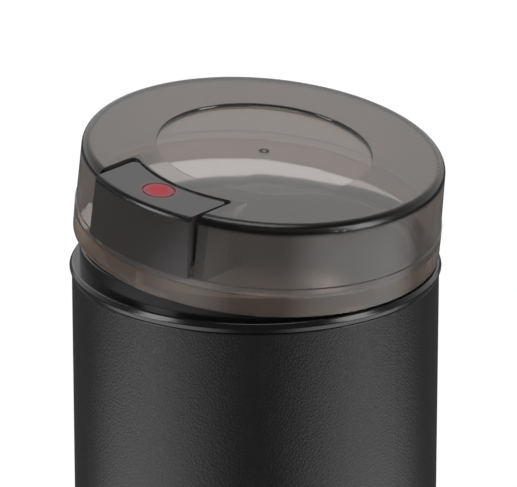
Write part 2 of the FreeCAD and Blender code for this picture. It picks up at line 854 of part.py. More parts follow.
# Grinding bowl: drawn steel with a rolled rim, on a rubber gasket
def make_grinding_bowl():
    body = new_body("grinding_bowl")
    outer = bowl_radius + bowl_wall
    under = bowl_floor - bowl_wall
    flange = mouth_radius - fit_gap * 2
    flange_low = bowl_seat + gasket_height
    flange_top = flange_low + bowl_wall
    turn(body, [
        (bowl_hole, under),
        (outer, under),
        (outer, flange_low),
        (flange, flange_low),
        (flange, flange_top),
        (bowl_radius, flange_top),
        (bowl_radius, bowl_floor),
        (bowl_hole, bowl_floor),
    ])
    fillet(body, bowl_corner, round_edge(bowl_radius, bowl_floor))
    fillet(body, bowl_corner + bowl_wall, round_edge(outer, under))
    fillet(body, bowl_wall / 2, round_edge(bowl_radius, flange_top))
    return body


def make_bowl_gasket():
    body = new_body("bowl_gasket")
    inner = mouth_radius - bowl_seat_width + fit_gap
    outer = mouth_radius - fit_gap * 2
    top = bowl_seat + gasket_height
    turn(body, [(inner, bowl_seat), (outer, bowl_seat), (outer, top), (inner, top)])
    return body


# Spindle bush and seal, where the shaft enters the bowl
def make_spindle_bush():
    body = new_body("spindle_bush")
    inner = shaft_radius + running_gap
    top = bowl_floor + bush_flange_height
    turn(body, [
        (inner, deck_height + 1),
        (bush_radius, deck_height + 1),
        (bush_radius, bowl_floor),
        (bush_flange, bowl_floor),
        (bush_flange, top),
        (inner, top),
    ])
    fillet(body, 0.3, round_edge(bush_flange, top))
    return body


def make_spindle_seal():
    body = new_body("spindle_seal")
    low = bowl_floor + bush_flange_height
    high = low + seal_height
    inner = shaft_radius + running_gap * 2
    wide = hub_radius - 0.5
    turn(body, [(inner, low), (wide, low), (wide - 1.2, high), (inner, high)])
    return body


# Motor deck: a disc under the bowl with a centre boss, rails for the board and a rod notch
def make_motor_deck():
    body = new_body("motor_deck")
    edge = shell_inner - deck_gap
    boss_top = bowl_floor - bowl_wall - fit_gap
    bore = bush_radius + press_gap
    turn(body, [
        (bore, deck_height),
        (edge, deck_height),
        (edge, deck_top),
        (deck_boss, deck_top),
        (deck_boss, boss_top),
        (bore, boss_top),
    ])

    def draw_screw_holes(sketch):
        for bearing in deck_post_bearings:
            draw_circle(sketch, at_bearing(deck_post_circle, bearing), screw_radius + fit_gap)

    pocket(body, "XY_Plane", deck_height, deck_thickness, draw_screw_holes)
    notch = rod_radius + rod_bore_gap
    pocket(body, "XY_Plane", deck_height, deck_thickness,
           draw=lambda sketch: draw_rectangle(sketch, -notch, notch, -body_radius,
                                              notch - rod_circle))
    rail_depth = board_thickness + 3
    rail_near = board_y - rail_depth / 2 + board_thickness / 2
    rail_inner = board_half_width - 1
    rail_outer = board_half_width + 2.5
    slot_outer = board_half_width + fit_gap
    slot_near = board_y - fit_gap / 2
    slot_far = board_y + board_thickness + fit_gap / 2
    rail_bottom = board_bottom - 2
    for side in (-1, 1):
        def draw_rail(sketch):
            draw_rectangle(sketch, side * rail_inner, side * rail_outer, rail_near,
                           rail_near + rail_depth)

        def draw_slot(sketch):
            draw_rectangle(sketch, side * (rail_inner - 1), side * slot_outer, slot_near, slot_far)

        pad(body, "XY_Plane", rail_bottom, deck_height - rail_bottom, draw_rail)
        pocket(body, "XY_Plane", board_bottom, board_height + fit_gap, draw_slot)
    return body


def make_deck_screws():
    screws = []
    for number, bearing in enumerate(deck_post_bearings, 1):
        length = deck_thickness + 8
        head = deck_height - screw_head_height
        screw = make_screw(f"deck_screw_{number}", head, length, screw_radius + 0.7)
        x, y = at_bearing(deck_post_circle, bearing)
        place_at(screw, x, y)
        screws.append(screw)
    return screws


def make_motor_damper():
    body = new_body("motor_damper")
    low = bracket_high + bracket_thickness
    turn(body, [
        (damper_inner, low),
        (damper_outer, low),
        (damper_outer, deck_height),
        (damper_inner, deck_height),
    ])
    return body


# End brackets: plates with a bearing boss and four pillars that clamp the stator stack
bolt_sides = ((1, 1), (-1, 1), (-1, -1), (1, -1))


def draw_corner_circles(sketch, radius):
    for side_x, side_y in bolt_sides:
        draw_circle(sketch, (side_x * bolt_x, side_y * bolt_y), radius)


def trim_flats(body, low, height, half_width, reach):
    """Cut both sides of a round plate back to two flats."""
    for side in (-1, 1):
        pocket(body, "XY_Plane", low, height,
               draw=lambda sketch: draw_rectangle(sketch, -reach, reach, side * half_width,
                                                  side * (reach + 1)))


def make_bracket(label, plate_low, pillar_low, pillar_height, boss_low, boss_high, drill_low):
    body = new_body(label)
    plate_high = plate_low + bracket_thickness
    bore = bush_radius + press_gap
    turn(body, [
        (bore, plate_low),
        (bracket_radius, plate_low),
        (bracket_radius, plate_high),
        (bore, plate_high),
    ])
    trim_flats(body, plate_low, bracket_thickness, bracket_flat, bracket_radius)
    turn(body, [
        (bore, boss_low),
        (bracket_boss, boss_low),
        (bracket_boss, boss_high),
        (bore, boss_high),
    ])
    pad(body, "XY_Plane", pillar_low, pillar_height,
        draw=lambda sketch: draw_corner_circles(sketch, pillar_radius))
    pocket(body, "XY_Plane", drill_low - 1, pillar_height + bracket_thickness + 2,
           draw=lambda sketch: draw_corner_circles(sketch, bolt_radius + press_gap))
    return body


def make_motor_bracket_top():
    return make_bracket("motor_bracket_top", bracket_high, stack_top, top_pillar,
                        bracket_high - 1, bracket_high + bracket_thickness + 3, stack_top)


def make_motor_bracket_bottom():
    plate_low = bracket_low_top - bracket_thickness
    return make_bracket("motor_bracket_bottom", plate_low, bracket_low_top, low_pillar,
                        lower_boss, bracket_low_top + 2, plate_low)


def make_bush(label, low, high):
    body = new_body(label)
    inner = shaft_radius + running_gap
    turn(body, [(inner, low), (bush_radius, low), (bush_radius, high), (inner, high)])
    chamfer(body, 0.4, round_edge(inner, low), round_edge(inner, high))
    return body


def make_motor_bushes():
    top_low = bracket_high - 1
    return [
        make_bush("upper_bush", top_low, top_low + 6.5),
        make_bush("lower_bush", lower_boss, lower_boss + 7.5),
    ]


# Stator: a laminated stack with two poles, each with a field coil wound round it
def make_stator_core():
    body = new_body("stator_core")
    turn(body, [
        (stack_bore, stack_bottom),
        (stack_radius, stack_bottom),
        (stack_radius, stack_top),
        (stack_bore, stack_top),
    ])
    trim_flats(body, stack_bottom, stack_height, stack_flat, stack_radius)
    pocket(body, "XY_Plane", stack_bottom, stack_height,
           draw=lambda sketch: draw_corner_circles(sketch, bolt_radius + fit_gap))

    def draw_windows(sketch):
        near_x = coil_near - seat_gap
        far_x = coil_near + coil_depth + seat_gap
        low_y = coil_half_inner - seat_gap
        high_y = coil_half_outer + seat_gap
        for side_x, side_y in bolt_sides:
            draw_rectangle(sketch, side_x * near_x, side_x * far_x, side_y * low_y, side_y * high_y)

    pocket(body, "XY_Plane", stack_bottom, stack_height, draw_windows)
    return body


def make_field_coil(label, side):
    body = new_body(label)
    low = stack_bottom - coil_overhang
    high = stack_top + coil_overhang
    hole_low = stack_bottom - seat_gap
    hole_high = stack_top + seat_gap
    half_depth = coil_depth / 2
    middle = side * (coil_near + half_depth)
    pad(body, "YZ_Plane", middle, coil_depth, midplane=True,
        draw=lambda sketch: draw_rectangle(sketch, -coil_half_outer, coil_half_outer, low, high))
    pocket(body, "YZ_Plane", middle, coil_depth * 2, midplane=True,
           draw=lambda sketch: draw_rectangle(sketch, -coil_half_inner, coil_half_inner,
                                              hole_low, hole_high))
    return body


def make_motor_bolts():
    bolts = []
    low = bracket_low_top - bracket_thickness - 2
    high = bracket_high + bracket_thickness
    head_radius = pillar_radius - 0.2
    for name, (side_x, side_y) in zip(("a", "b"), (bolt_sides[0], bolt_sides[2])):
        body = new_body(f"motor_bolt_{name}")
        head_top = bracket_low_top - bracket_thickness
        turn(body, [
            (0, low),
            (head_radius, low),
            (head_radius, head_top),
            (bolt_radius, head_top),
            (bolt_radius, high),
            (0, high),
        ])
        fillet(body, 0.7, round_edge(head_radius, low))
        place_at(body, side_x * bolt_x, side_y * bolt_y)
        bolts.append(body)
    return bolts


# Brush gear: a holder, a carbon brush and its spring on each side of the commutator
brush_centre = commutator_top - commutator_height / 2
half_width = brush_width / 2
half_height = brush_height / 2
channel_gap = fit_gap / 2


def make_brush_holder(label, side):
    body = new_body(label)
    outer_half = half_width + holder_wall
    low = brush_centre - half_height - holder_wall
    high = brush_centre + half_height + holder_wall
    length = holder_far - holder_near
    middle = side * (holder_near + length / 2)
    end_wall = holder_wall
    channel_middle = side * (holder_near + (length - end_wall) / 2)
    pad(body, "YZ_Plane", middle, length, midplane=True,
        draw=lambda sketch: draw_rectangle(sketch, -outer_half, outer_half, low, high))
    pad(body, "YZ_Plane", middle, length / 2, midplane=True,
        draw=lambda sketch: draw_rectangle(sketch, -outer_half, outer_half, bracket_low_top, high))
    pocket(body, "YZ_Plane", channel_middle, length - end_wall, midplane=True,
           draw=lambda sketch: draw_rectangle(sketch, -half_width - channel_gap,
                                              half_width + channel_gap,
                                              brush_centre - half_height - channel_gap,
                                              brush_centre + half_height + channel_gap))
    return body


def make_carbon_brush(label, side):
    body = new_body(label)
    middle = side * (commutator_radius + brush_gap + brush_length / 2)
    pad(body, "YZ_Plane", middle, brush_length, midplane=True,
        draw=lambda sketch: draw_rectangle(sketch, -half_width, half_width,
                                           brush_centre - half_height,
                                           brush_centre + half_height))
    return body


def make_brush_spring(label, side):
    spring_start = commutator_radius + brush_gap + brush_length
    spring_end = holder_far - holder_wall
    body = coil_spring(label, as_size(1.7), as_size(0.25), spring_end - spring_start, 7)
    body.Placement.Rotation = FreeCAD.Rotation(Vector(0, 1, 0), 90 * side)
    place_at(body, x=side * spring_start, z=brush_centre)
    return body


def make_brush_gear():
    pieces = []
    for name, side in (("left", -1), ("right", 1)):
        pieces.append(make_brush_holder(f"brush_holder_{name}", side))
        pieces.append(make_carbon_brush(f"carbon_brush_{name}", side))
        pieces.append(make_brush_spring(f"brush_spring_{name}", side))
    return pieces


# Rotor: shaft, armature, commutator, fan, hub, blade and nut, which all turn together
blade_low = bowl_floor + bush_flange_height + seal_height + seat_gap + hub_height
nut_low = blade_low + blade_thickness
ARMATURE_SLOTS = 12
COMMUTATOR_BARS = 24
FAN_BLADES = 9


def make_rotor_shaft():
    body = new_body("rotor_shaft")
    top = nut_low + nut_height * 0.6
    turn(body, [(0, shaft_bottom), (shaft_radius, shaft_bottom), (shaft_radius, top), (0, top)])
    chamfer(body, 0.4, round_edge(shaft_radius, shaft_bottom), round_edge(shaft_radius, top))
    return body


def make_armature_core():
    body = new_body("armature_core")
    outer = stack_bore - air_gap
    turn(body, [
        (shaft_bore, stack_bottom),
        (outer, stack_bottom),
        (outer, stack_top),
        (shaft_bore, stack_top),
    ])
    slot = pocket(body, "XY_Plane", stack_bottom, stack_height,
                  draw=lambda sketch: draw_radial_block(sketch, outer - 5.5, outer + 1, 2.2, 0))
    repeat_round(body, slot, ARMATURE_SLOTS)
    return body


def make_armature_winding(label, low):
    body = new_body(label)
    high = low + winding_height
    turn(body, [
        (winding_bore, low),
        (winding_radius, low),
        (winding_radius, high),
        (winding_bore, high),
    ])
    fillet(body, 1.8, round_edge(winding_radius, low), round_edge(winding_radius, high))
    return body


def make_armature_windings():
    return [
        make_armature_winding("armature_winding_top", stack_top),
        make_armature_winding("armature_winding_bottom", stack_bottom - winding_height),
    ]


def make_commutator():
    body = new_body("commutator")
    low = commutator_top - commutator_height
    turn(body, [
        (shaft_bore, low),
        (commutator_radius, low),
        (commutator_radius, commutator_top),
        (shaft_bore, commutator_top),
    ])
    gap = pocket(body, "XY_Plane", low, commutator_height,
                 draw=lambda sketch: draw_radial_block(sketch, commutator_radius - 0.8,
                                                       commutator_radius + 1, 0.4, 0))
    repeat_round(body, gap, COMMUTATOR_BARS)
    return body


def make_cooling_fan():
    body = new_body("cooling_fan")
    disc = as_size(1.4)
    hub = as_size(6.0)
    disc_top = fan_bottom + disc
    top = fan_bottom + fan_height
    turn(body, [
        (shaft_bore, fan_bottom),
        (fan_radius, fan_bottom),
        (fan_radius, disc_top),
        (hub, disc_top),
        (hub, top),
        (shaft_bore, top),
    ])
    blade = pad(body, "XY_Plane", disc_top - disc / 2, fan_height - disc,
                draw=lambda sketch: draw_radial_block(sketch, hub * 1.6, fan_radius - 0.5, 1.4, 0))
    repeat_round(body, blade, FAN_BLADES)
    return body


def make_blade_hub():
    body = new_body("blade_hub")
    low = blade_low - hub_height
    turn(body, [
        (shaft_bore, low),
        (hub_radius, low),
        (hub_radius, blade_low),
        (shaft_bore, blade_low),
    ])
    chamfer(body, 0.5, round_edge(hub_radius, low))
    return body


def make_grinding_blade():
    body = new_body("grinding_blade")
    high = blade_low + blade_thickness
    pad(body, "XZ_Plane", 0, blade_width, midplane=True, draw=lambda sketch: draw_outline(sketch, [
        (-blade_reach, blade_low - blade_dip),
        (-blade_flat, blade_low),
        (blade_flat, blade_low),
        (blade_reach, blade_low + blade_rise),
        (blade_reach, high + blade_rise),
        (blade_flat, high),
        (-blade_flat, high),
        (-blade_reach, high - blade_dip),
    ]))
    cut_low = blade_low - blade_dip * 2
    cut_height = blade_rise + blade_dip * 4 + blade_thickness
    half_tip = blade_tip_width / 2
    wide = blade_width
    far = blade_reach + 1
    for side_x, side_y in bolt_sides:
        pocket(body, "XY_Plane", cut_low, cut_height, draw=lambda sketch: draw_outline(sketch, [
            (side_x * blade_flat, side_y * blade_width / 2),
            (side_x * far, side_y * half_tip),
            (side_x * far, side_y * wide),
            (side_x * blade_flat, side_y * wide),
        ]))
    pocket(body, "XY_Plane", cut_low, cut_height,
           draw=lambda sketch: draw_circle(sketch, (0, 0), shaft_bore))
    turn_to(body, blade_bearing)
    return body


def make_blade_nut():
    body = new_body("blade_nut")
    corners = [at_bearing(nut_radius, corner * 60) for corner in range(6)]
    pad(body, "XY_Plane", nut_low, nut_height, draw=lambda sketch: draw_outline(sketch, corners))
    pocket(body, "XY_Plane", nut_low, nut_height * 0.65,
           draw=lambda sketch: draw_circle(sketch, (0, 0), shaft_bore))
    inner = nut_radius * 0.75
    top = nut_low + nut_height
    outer = nut_radius * 1.1
    shoulder = top - nut_height * 0.3
    turn_away(body, [(inner, top), (outer, shoulder), (outer, top + 1), (inner, top + 1)])
    turn_to(body, blade_bearing)
    return body


# Circuit board on its rails, with the parts that it carries
def make_circuit_board():
    body = new_body("circuit_board")
    pad(body, "XY_Plane", board_bottom, board_height,
        draw=lambda sketch: draw_rectangle(sketch, -board_half_width, board_half_width, board_y,
                                           board_y + board_thickness))
    return body


def make_board_block(label, half_wide, deep, low, tall, middle=0):
    """Stand a rectangular part off the inner face of the circuit board."""
    body = new_body(label)
    pad(body, "XY_Plane", low, tall,
        draw=lambda sketch: draw_rectangle(sketch, middle - half_wide, middle + half_wide,
                                           board_y - deep, board_y))
    return body


def make_board_parts():
    capacitor = make_board_block("suppression_capacitor", as_size(9), as_size(8),
                                 board_bottom + 4, as_size(14))
    rectifier = make_board_block("rectifier", as_size(5), as_size(5), board_bottom + 23,
                                 as_size(9), as_size(-6))
    fuse = new_body("thermal_fuse")
    fuse_radius = as_size(2.0)
    turn(fuse, [(0, 0), (fuse_radius, 0), (fuse_radius, 10), (0, 10)])
    fillet(fuse, 0.5, round_edge(fuse_radius, 0), round_edge(fuse_radius, 10))
    place_at(fuse, as_size(6), board_y - fuse_radius - press_gap, board_bottom + 22)
    return [capacitor, rectifier, fuse]


# Switch: a microswitch hung from the deck, its lever, and the rod that reaches the rim
def make_microswitch():
    body = new_body("microswitch")
    near_y = -switch_near
    far_y = -(switch_near + switch_length)
    pad(body, "XY_Plane", switch_bottom, switch_height,
        draw=lambda sketch: draw_rectangle(sketch, -switch_half_width, switch_half_width, far_y,
                                           near_y))
    ear_inner = lever_half_width + fit_gap
    ear_half = as_size(1.2)
    ear_height = lever_pivot_rise + 1
    for side in (-1, 1):
        pad(body, "XY_Plane", switch_top - 1, ear_height + 1,
            draw=lambda sketch: draw_rectangle(sketch, side * ear_inner, side * switch_half_width,
                                               -lever_pivot_y - ear_half,
                                               -lever_pivot_y + ear_half))
    pin_hole = lever_thickness + fit_gap
    pocket(body, "YZ_Plane", 0, switch_half_width * 3, midplane=True,
           draw=lambda sketch: draw_circle(sketch, (-lever_pivot_y, lever_pivot_z), pin_hole))
    return body


def make_switch_bracket():
    body = new_body("switch_bracket")
    plate = as_size(1.8)
    near_x = -switch_half_width
    far_x = near_x - plate
    near_y = -switch_near
    far_y = -(switch_near + switch_length)
    pad(body, "XY_Plane", switch_bottom, deck_height - switch_bottom,
        draw=lambda sketch: draw_rectangle(sketch, far_x, near_x, far_y, near_y))
    pad(body, "XY_Plane", deck_height - plate, plate,
        draw=lambda sketch: draw_rectangle(sketch, far_x, switch_half_width, far_y + 3, near_y - 3))
    return body


def make_switch_lever():
    """Pivot pin and a thin blade that slopes up to just under the rod."""
    body = new_body("switch_lever")
    pin_radius_size = lever_thickness + fit_gap / 2
    pin_length = switch_half_width * 2
    pad(body, "YZ_Plane", 0, pin_length, midplane=True,
        draw=lambda sketch: draw_circle(sketch, (-lever_pivot_y, lever_pivot_z), pin_radius_size))
    tip_y = rod_circle + rod_radius
    contact_z = rod_bottom - seat_gap
    half = lever_thickness / 2
    slope = (contact_z - half - lever_pivot_z) / (rod_circle - lever_pivot_y)
    tip_z = lever_pivot_z + slope * (tip_y - lever_pivot_y)
    pad(body, "YZ_Plane", 0, lever_half_width * 2, midplane=True,
        draw=lambda sketch: draw_outline(sketch, [
            (-lever_pivot_y, lever_pivot_z - half),
            (-lever_pivot_y, lever_pivot_z + half),
            (-tip_y, tip_z + half),
            (-tip_y, tip_z - half),
        ]))
    return body


def make_switch_rod():
    body = new_body("switch_rod")
    flange_top = rod_flange_height + 0.8
    turn(body, [
        (0, rod_bottom),
        (rod_radius, rod_bottom),
        (rod_radius, rod_flange_height),
        (rod_flange, rod_flange_height),
        (rod_flange, flange_top),
        (rod_radius, flange_top),
        (rod_radius, rod_top),
        (0, rod_top),
    ])
    fillet(body, 0.4, round_edge(rod_radius, rod_top), round_edge(rod_radius, rod_bottom))
    place_at(body, y=-rod_circle)
    return body


def make_rod_spring():
    height = rod_flange_height - deck_top
    body = coil_spring("rod_spring", rod_radius + 0.35, as_size(0.2), height, 9)
    place_at(body, y=-rod_circle, z=deck_top)
    return body


# Lid shell: wall, band, top plate with its recess and gate mark, lugs and the pad's pocket
def draw_guides(sketch, radius):
    for side in (-1, 1):
        draw_circle(sketch, (side * post_x, -post_y), radius)


def make_lid_shell():
    body = new_body("lid_shell")
    plate_low = lid_height - lid_plate
    turn(body, [
        (lid_inner, 0),
        (band_radius, 0),
        (band_radius, band_height),
        (lid_low_radius, band_height + band_step),
        (lid_top_radius, lid_height),
        (0, lid_height),
        (0, plate_low),
        (lid_top_radius - lid_wall, plate_low),
        (lid_low_radius - lid_wall, band_height + lid_wall),
        (lid_inner, band_height - lid_wall),
    ])
    fillet(body, lid_round, round_edge(lid_top_radius, lid_height))
    fillet(body, lid_wall / 2, round_edge(lid_top_radius - lid_wall, plate_low))
    chamfer(body, 0.3, round_edge(band_radius, 0))
    pocket_high = lid_height - lid_plate + lid_wall / 4
    pad(body, "XY_Plane", pocket_low, pocket_high - pocket_low,
        draw=lambda sketch: draw_arc_block(sketch, slot_inner - pocket_wall,
                                           lid_top_radius - lid_wall / 3,
                                           slot_half_width + pocket_wall))
    pocket(body, "XY_Plane", pocket_floor, lid_height,
           draw=lambda sketch: draw_arc_block(sketch, slot_inner, body_radius + 5,
                                              slot_half_width))
    reach = -Size(math.sqrt(slot_inner.number ** 2 - slot_half_width.number ** 2),
                  f"sqrt({slot_inner.formula} ^ 2 - {slot_half_width.formula} ^ 2)")
    fillet(body, slot_corner, upright_edge((slot_half_width, reach)),
           upright_edge((-slot_half_width, reach)))
    guide_outer = post_radius + fit_gap + guide_wall
    pad(body, "XY_Plane", pocket_low, pocket_floor + guide_height - pocket_low,
        draw=lambda sketch: draw_guides(sketch, guide_outer))
    pocket(body, "XY_Plane", pocket_low - 1, lid_height,
           draw=lambda sketch: draw_guides(sketch, post_radius + fit_gap))
    pocket(body, "XY_Plane", pocket_low - 1, stop_z - pocket_low + 1,
           draw=lambda sketch: draw_guides(sketch, stop_head_radius + fit_gap))
    pocket(body, "XY_Plane", pocket_low - 1, pocket_wall + 2,
           draw=lambda sketch: draw_circle(sketch, (0, -rod_circle), leg_radius + seat_gap * 1.5))
    for bearing in (lug_bearing, lug_bearing + 180):
        pad(body, "XY_Plane", lug_bottom, lug_height,
            draw=lambda sketch: draw_radial_block(sketch, lid_inner - lug_depth,
                                                  lid_inner + lid_wall / 2, lug_width, bearing))
    pocket(body, "XY_Plane", lid_height - recess_depth, recess_depth + 1,
           draw=lambda sketch: draw_circle(sketch, (0, 0), recess_radius))
    fillet(body, 0.5, round_edge(recess_radius, lid_height - recess_depth))
    recess = lid_height - recess_depth
    turn_away(body, [
        (gate_radius - 0.35, recess - 0.4),
        (gate_radius, recess - 0.4),
        (gate_radius, recess + 0.1),
        (gate_radius - 0.35, recess + 0.1),
    ])
    lean_with_lid(body)
    return body


# Press pad: a tapered cap with a front skirt, a leg over the rod and two guide posts
def make_press_pad():
    body = new_body("press_pad")
    pad(body, "XY_Plane", pad_skirt_bottom, pad_top - pad_skirt_bottom,
        draw=lambda sketch: draw_arc_block(sketch, pad_inner, pad_radius, pad_half_width))
    for side in (-1, 1):
        pocket(body, "XZ_Plane", 0, body_radius * 2, upward=False, midplane=True,
               draw=lambda sketch: draw_outline(sketch, [
                   (side * pad_half_width, pad_skirt_bottom),
                   (side * (pad_half_width - pad_taper), pad_top),
                   (side * (pad_half_width + pad_taper), pad_top + 1),
                   (side * (pad_half_width + pad_taper), pad_skirt_bottom),
               ]))
    fillet(body, slot_corner, edge_between_faces_at(pad_inner))
    pocket(body, "XY_Plane", pad_skirt_bottom - 1, pad_side_bottom - pad_skirt_bottom + 1,
           draw=lambda sketch: draw_arc_block(sketch, pad_inner - 2, skirt_inner,
                                              pad_half_width + 1))
    cavity_half = pad_half_width - pad_taper - pad_wall
    pocket(body, "XY_Plane", pad_side_bottom - 1, pad_ceiling - pad_side_bottom + 1,
           draw=lambda sketch: draw_arc_block(sketch, pad_inner + pad_wall, skirt_inner - pad_wall / 2,
                                              cavity_half))
    pad(body, "XY_Plane", leg_bottom, pad_ceiling - leg_bottom + pad_plate / 2,
        draw=lambda sketch: draw_circle(sketch, (0, -rod_circle), leg_radius))
    post_low = stop_z - seat_gap
    pad(body, "XY_Plane", post_low, pad_ceiling - post_low + pad_plate / 2,
        draw=lambda sketch: draw_guides(sketch, post_radius))
    fillet(body, pad_edge_round, round_edge(pad_radius, pad_top))
    pocket(body, "XY_Plane", pad_top - mark_depth, mark_depth + 1, draw=lambda sketch: (
        draw_circle(sketch, (0, -mark_circle), mark_radius),
        draw_circle(sketch, (0, -mark_circle), mark_radius - mark_line),
    ))
    lean_with_lid(body)
    return body


def make_pad_screws():
    """Stop screws under the guide posts, which hold the pad in its pocket."""
    screws = []
    for name, side in (("left", -1), ("right", 1)):
        body = new_body(f"pad_screw_{name}")
        top = stop_z - seat_gap
        low = top - stop_head_height
        pad(body, "XY_Plane", low, stop_head_height,
            draw=lambda sketch: draw_circle(sketch, (side * post_x, -post_y), stop_head_radius))
        lean_with_lid(body)
        screws.append(body)
    return screws


def make_pad_springs():
    springs = []
    height = pad_ceiling - pocket_floor
    for name, side in (("left", -1), ("right", 1)):
        body = new_body(f"pad_spring_{name}")
        sketch = new_sketch(body, "XZ_Plane", post_y)
        draw_circle(sketch, (side * post_x + spring_radius, pocket_floor + spring_wire), spring_wire)
        axis = Part.LineSegment(flat_point((side * post_x, 0)), flat_point((side * post_x, 1)))
        line = sketch.addGeometry(axis, True)
        pin_point(sketch, line, "start", (side * post_x, 0))
        pin_point(sketch, line, "end", (side * post_x, 1))
        feature = new_feature(body, "AdditiveHelix", sketch)
        feature.ReferenceAxis = (sketch, ["Axis0"])
        feature.Mode = "height-turns-angle"
        feature.setExpression("Height", (height - spring_wire * 2).formula)
        feature.Turns = 6
        lean_with_lid(body)
        springs.append(body)
    return springs


pieces = [
    make_body_shell(),
    make_cord_gland(),
    make_base_plate(),
    *make_base_screws(),
    *make_rubber_feet(),
    make_collar(),
    make_grinding_bowl(),
    make_bowl_gasket(),
    make_spindle_bush(),
    make_spindle_seal(),
    make_motor_deck(),
    *make_deck_screws(),
    make_motor_damper(),
    make_motor_bracket_top(),
    make_motor_bracket_bottom(),
    *make_motor_bushes(),
    make_stator_core(),
    make_field_coil("field_coil_left", -1),
    make_field_coil("field_coil_right", 1),
    *make_motor_bolts(),
    *make_brush_gear(),
    make_rotor_shaft(),
    make_armature_core(),
    *make_armature_windings(),
    make_commutator(),
    make_cooling_fan(),
    make_blade_hub(),
    make_grinding_blade(),
    make_blade_nut(),
    make_circuit_board(),
    *make_board_parts(),
    make_microswitch(),
    make_switch_bracket(),
    make_switch_lever(),
    make_switch_rod(),
    make_rod_spring(),
    make_lid_shell(),
    make_press_pad(),
    *make_pad_screws(),
    *make_pad_springs(),
]

doc.recompute()

# Nothing is written unless every object is sound
for item in doc.Objects:
    if "Invalid" in item.State or "Error" in item.State:
        raise RuntimeError(f"{item.Name} ({item.Label}) did not compute")

for piece in pieces:
    shape = piece.Shape
    if shape.isNull() or not shape.isValid() or not shape.Solids:
        raise RuntimeError(f"{piece.Label} has no valid solid")

os.makedirs("parts", exist_ok=True)
for piece in pieces:
    piece.Shape.exportStep(os.path.join("parts", f"{piece.Label}.step"))
    box = piece.Shape.BoundBox
    print(f"{piece.Label:26s} solids {len(piece.Shape.Solids)} volume {piece.Shape.Volume:10.1f} "
          f"z {box.ZMin:7.2f} {box.ZMax:7.2f}")
print(len(pieces), "pieces")
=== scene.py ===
import json
import math

import bmesh
import bpy
from mathutils import Matrix, Vector


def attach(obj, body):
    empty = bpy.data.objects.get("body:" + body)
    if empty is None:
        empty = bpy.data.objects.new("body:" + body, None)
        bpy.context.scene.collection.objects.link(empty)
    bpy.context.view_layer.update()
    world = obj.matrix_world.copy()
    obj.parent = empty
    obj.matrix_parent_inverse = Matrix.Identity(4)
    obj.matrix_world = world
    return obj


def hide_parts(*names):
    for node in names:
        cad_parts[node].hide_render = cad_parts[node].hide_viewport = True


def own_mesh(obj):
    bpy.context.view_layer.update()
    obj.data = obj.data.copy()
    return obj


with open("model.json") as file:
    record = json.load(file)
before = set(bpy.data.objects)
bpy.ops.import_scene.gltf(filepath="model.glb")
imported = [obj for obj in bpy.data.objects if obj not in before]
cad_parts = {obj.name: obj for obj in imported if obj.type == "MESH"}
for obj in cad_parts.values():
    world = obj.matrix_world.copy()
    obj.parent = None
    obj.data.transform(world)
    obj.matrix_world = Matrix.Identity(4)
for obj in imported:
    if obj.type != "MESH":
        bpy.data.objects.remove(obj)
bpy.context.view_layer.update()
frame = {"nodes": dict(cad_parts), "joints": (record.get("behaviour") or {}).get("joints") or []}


# Camera, table and light. The grinder stands on a pale table in front of a white
# background, seen from a little above with the press pad at its front left. Two tall
# soft boxes stand almost beside it and one hangs over it, as for a catalogue picture.
scene = bpy.context.scene
scene.view_settings.view_transform = "Standard"

VIEW_BEARING = 131.5
VIEW_DROP = math.radians(20.373)
VIEW_DISTANCE = 1.20155
VIEW_HEIGHT = 0.150
VIEW_LENS = 341.55
VIEW_RIGHT = 0.00075
VIEW_UP = 0.00449


def on_table(bearing, reach, height):
    """A point at a bearing in degrees and a reach from the axis of the grinder."""
    angle = math.radians(bearing)
    return Vector((math.cos(angle) * reach, math.sin(angle) * reach, height))


look = on_table(VIEW_BEARING, math.cos(VIEW_DROP), -math.sin(VIEW_DROP))
look_right = look.cross(Vector((0, 0, 1))).normalized()
look_up = look_right.cross(look)
camera = bpy.data.objects.new("camera", bpy.data.cameras.new("camera"))
camera.data.sensor_width = 36
camera.data.lens = VIEW_LENS
camera.data.clip_start = 0.05
camera.data.clip_end = 40
camera.location = (Vector((0, 0, VIEW_HEIGHT)) - look * VIEW_DISTANCE
                   + look_right * VIEW_RIGHT + look_up * VIEW_UP)
camera.rotation_euler = look.to_track_quat("-Z", "Y").to_euler()
scene.collection.objects.link(camera)
scene.camera = camera


def feed(tree, socket, value):
    """Links what another node puts out to a socket, or sets a plain value there."""
    if isinstance(value, bpy.types.NodeSocket):
        tree.links.new(value, socket)
    else:
        socket.default_value = value


def add_node(tree, kind, inputs=None, **settings):
    """A shader node with its settings and with what feeds its sockets."""
    node = tree.nodes.new("ShaderNode" + kind)
    for name, value in settings.items():
        setattr(node, name, value)
    for name, value in (inputs or {}).items():
        feed(tree, node.inputs[name], value)
    return node


def calculate(tree, operation, *values, clamp=False):
    """The result of one sum."""
    return add_node(tree, "Math", dict(enumerate(values)), operation=operation,
                    use_clamp=clamp).outputs[0]


def measure(tree, operation, *vectors):
    """The one number that a vector operation gives."""
    return add_node(tree, "VectorMath", dict(enumerate(vectors)),
                    operation=operation).outputs["Value"]


def fade(tree, value, limits, results=(0.0, 1.0), curve="LINEAR"):
    """Goes from one result to the other while the value goes between two limits."""
    return add_node(tree, "MapRange", {
        "Value": value, "From Min": limits[0], "From Max": limits[1],
        "To Min": results[0], "To Max": results[1]},
        interpolation_type=curve).outputs["Result"]


def mix_value(tree, factor, first, second):
    """The first number where the factor is 0 and the second where it is 1."""
    return add_node(tree, "Mix", {"Factor": factor, "A": first, "B": second},
                    data_type="FLOAT").outputs["Result"]


def seen_through(tree, path):
    """1 for rays of the camera and for those that clear plastic lets through."""
    return calculate(tree, "MAXIMUM", path.outputs["Is Camera Ray"],
                     path.outputs["Is Transmission Ray"])


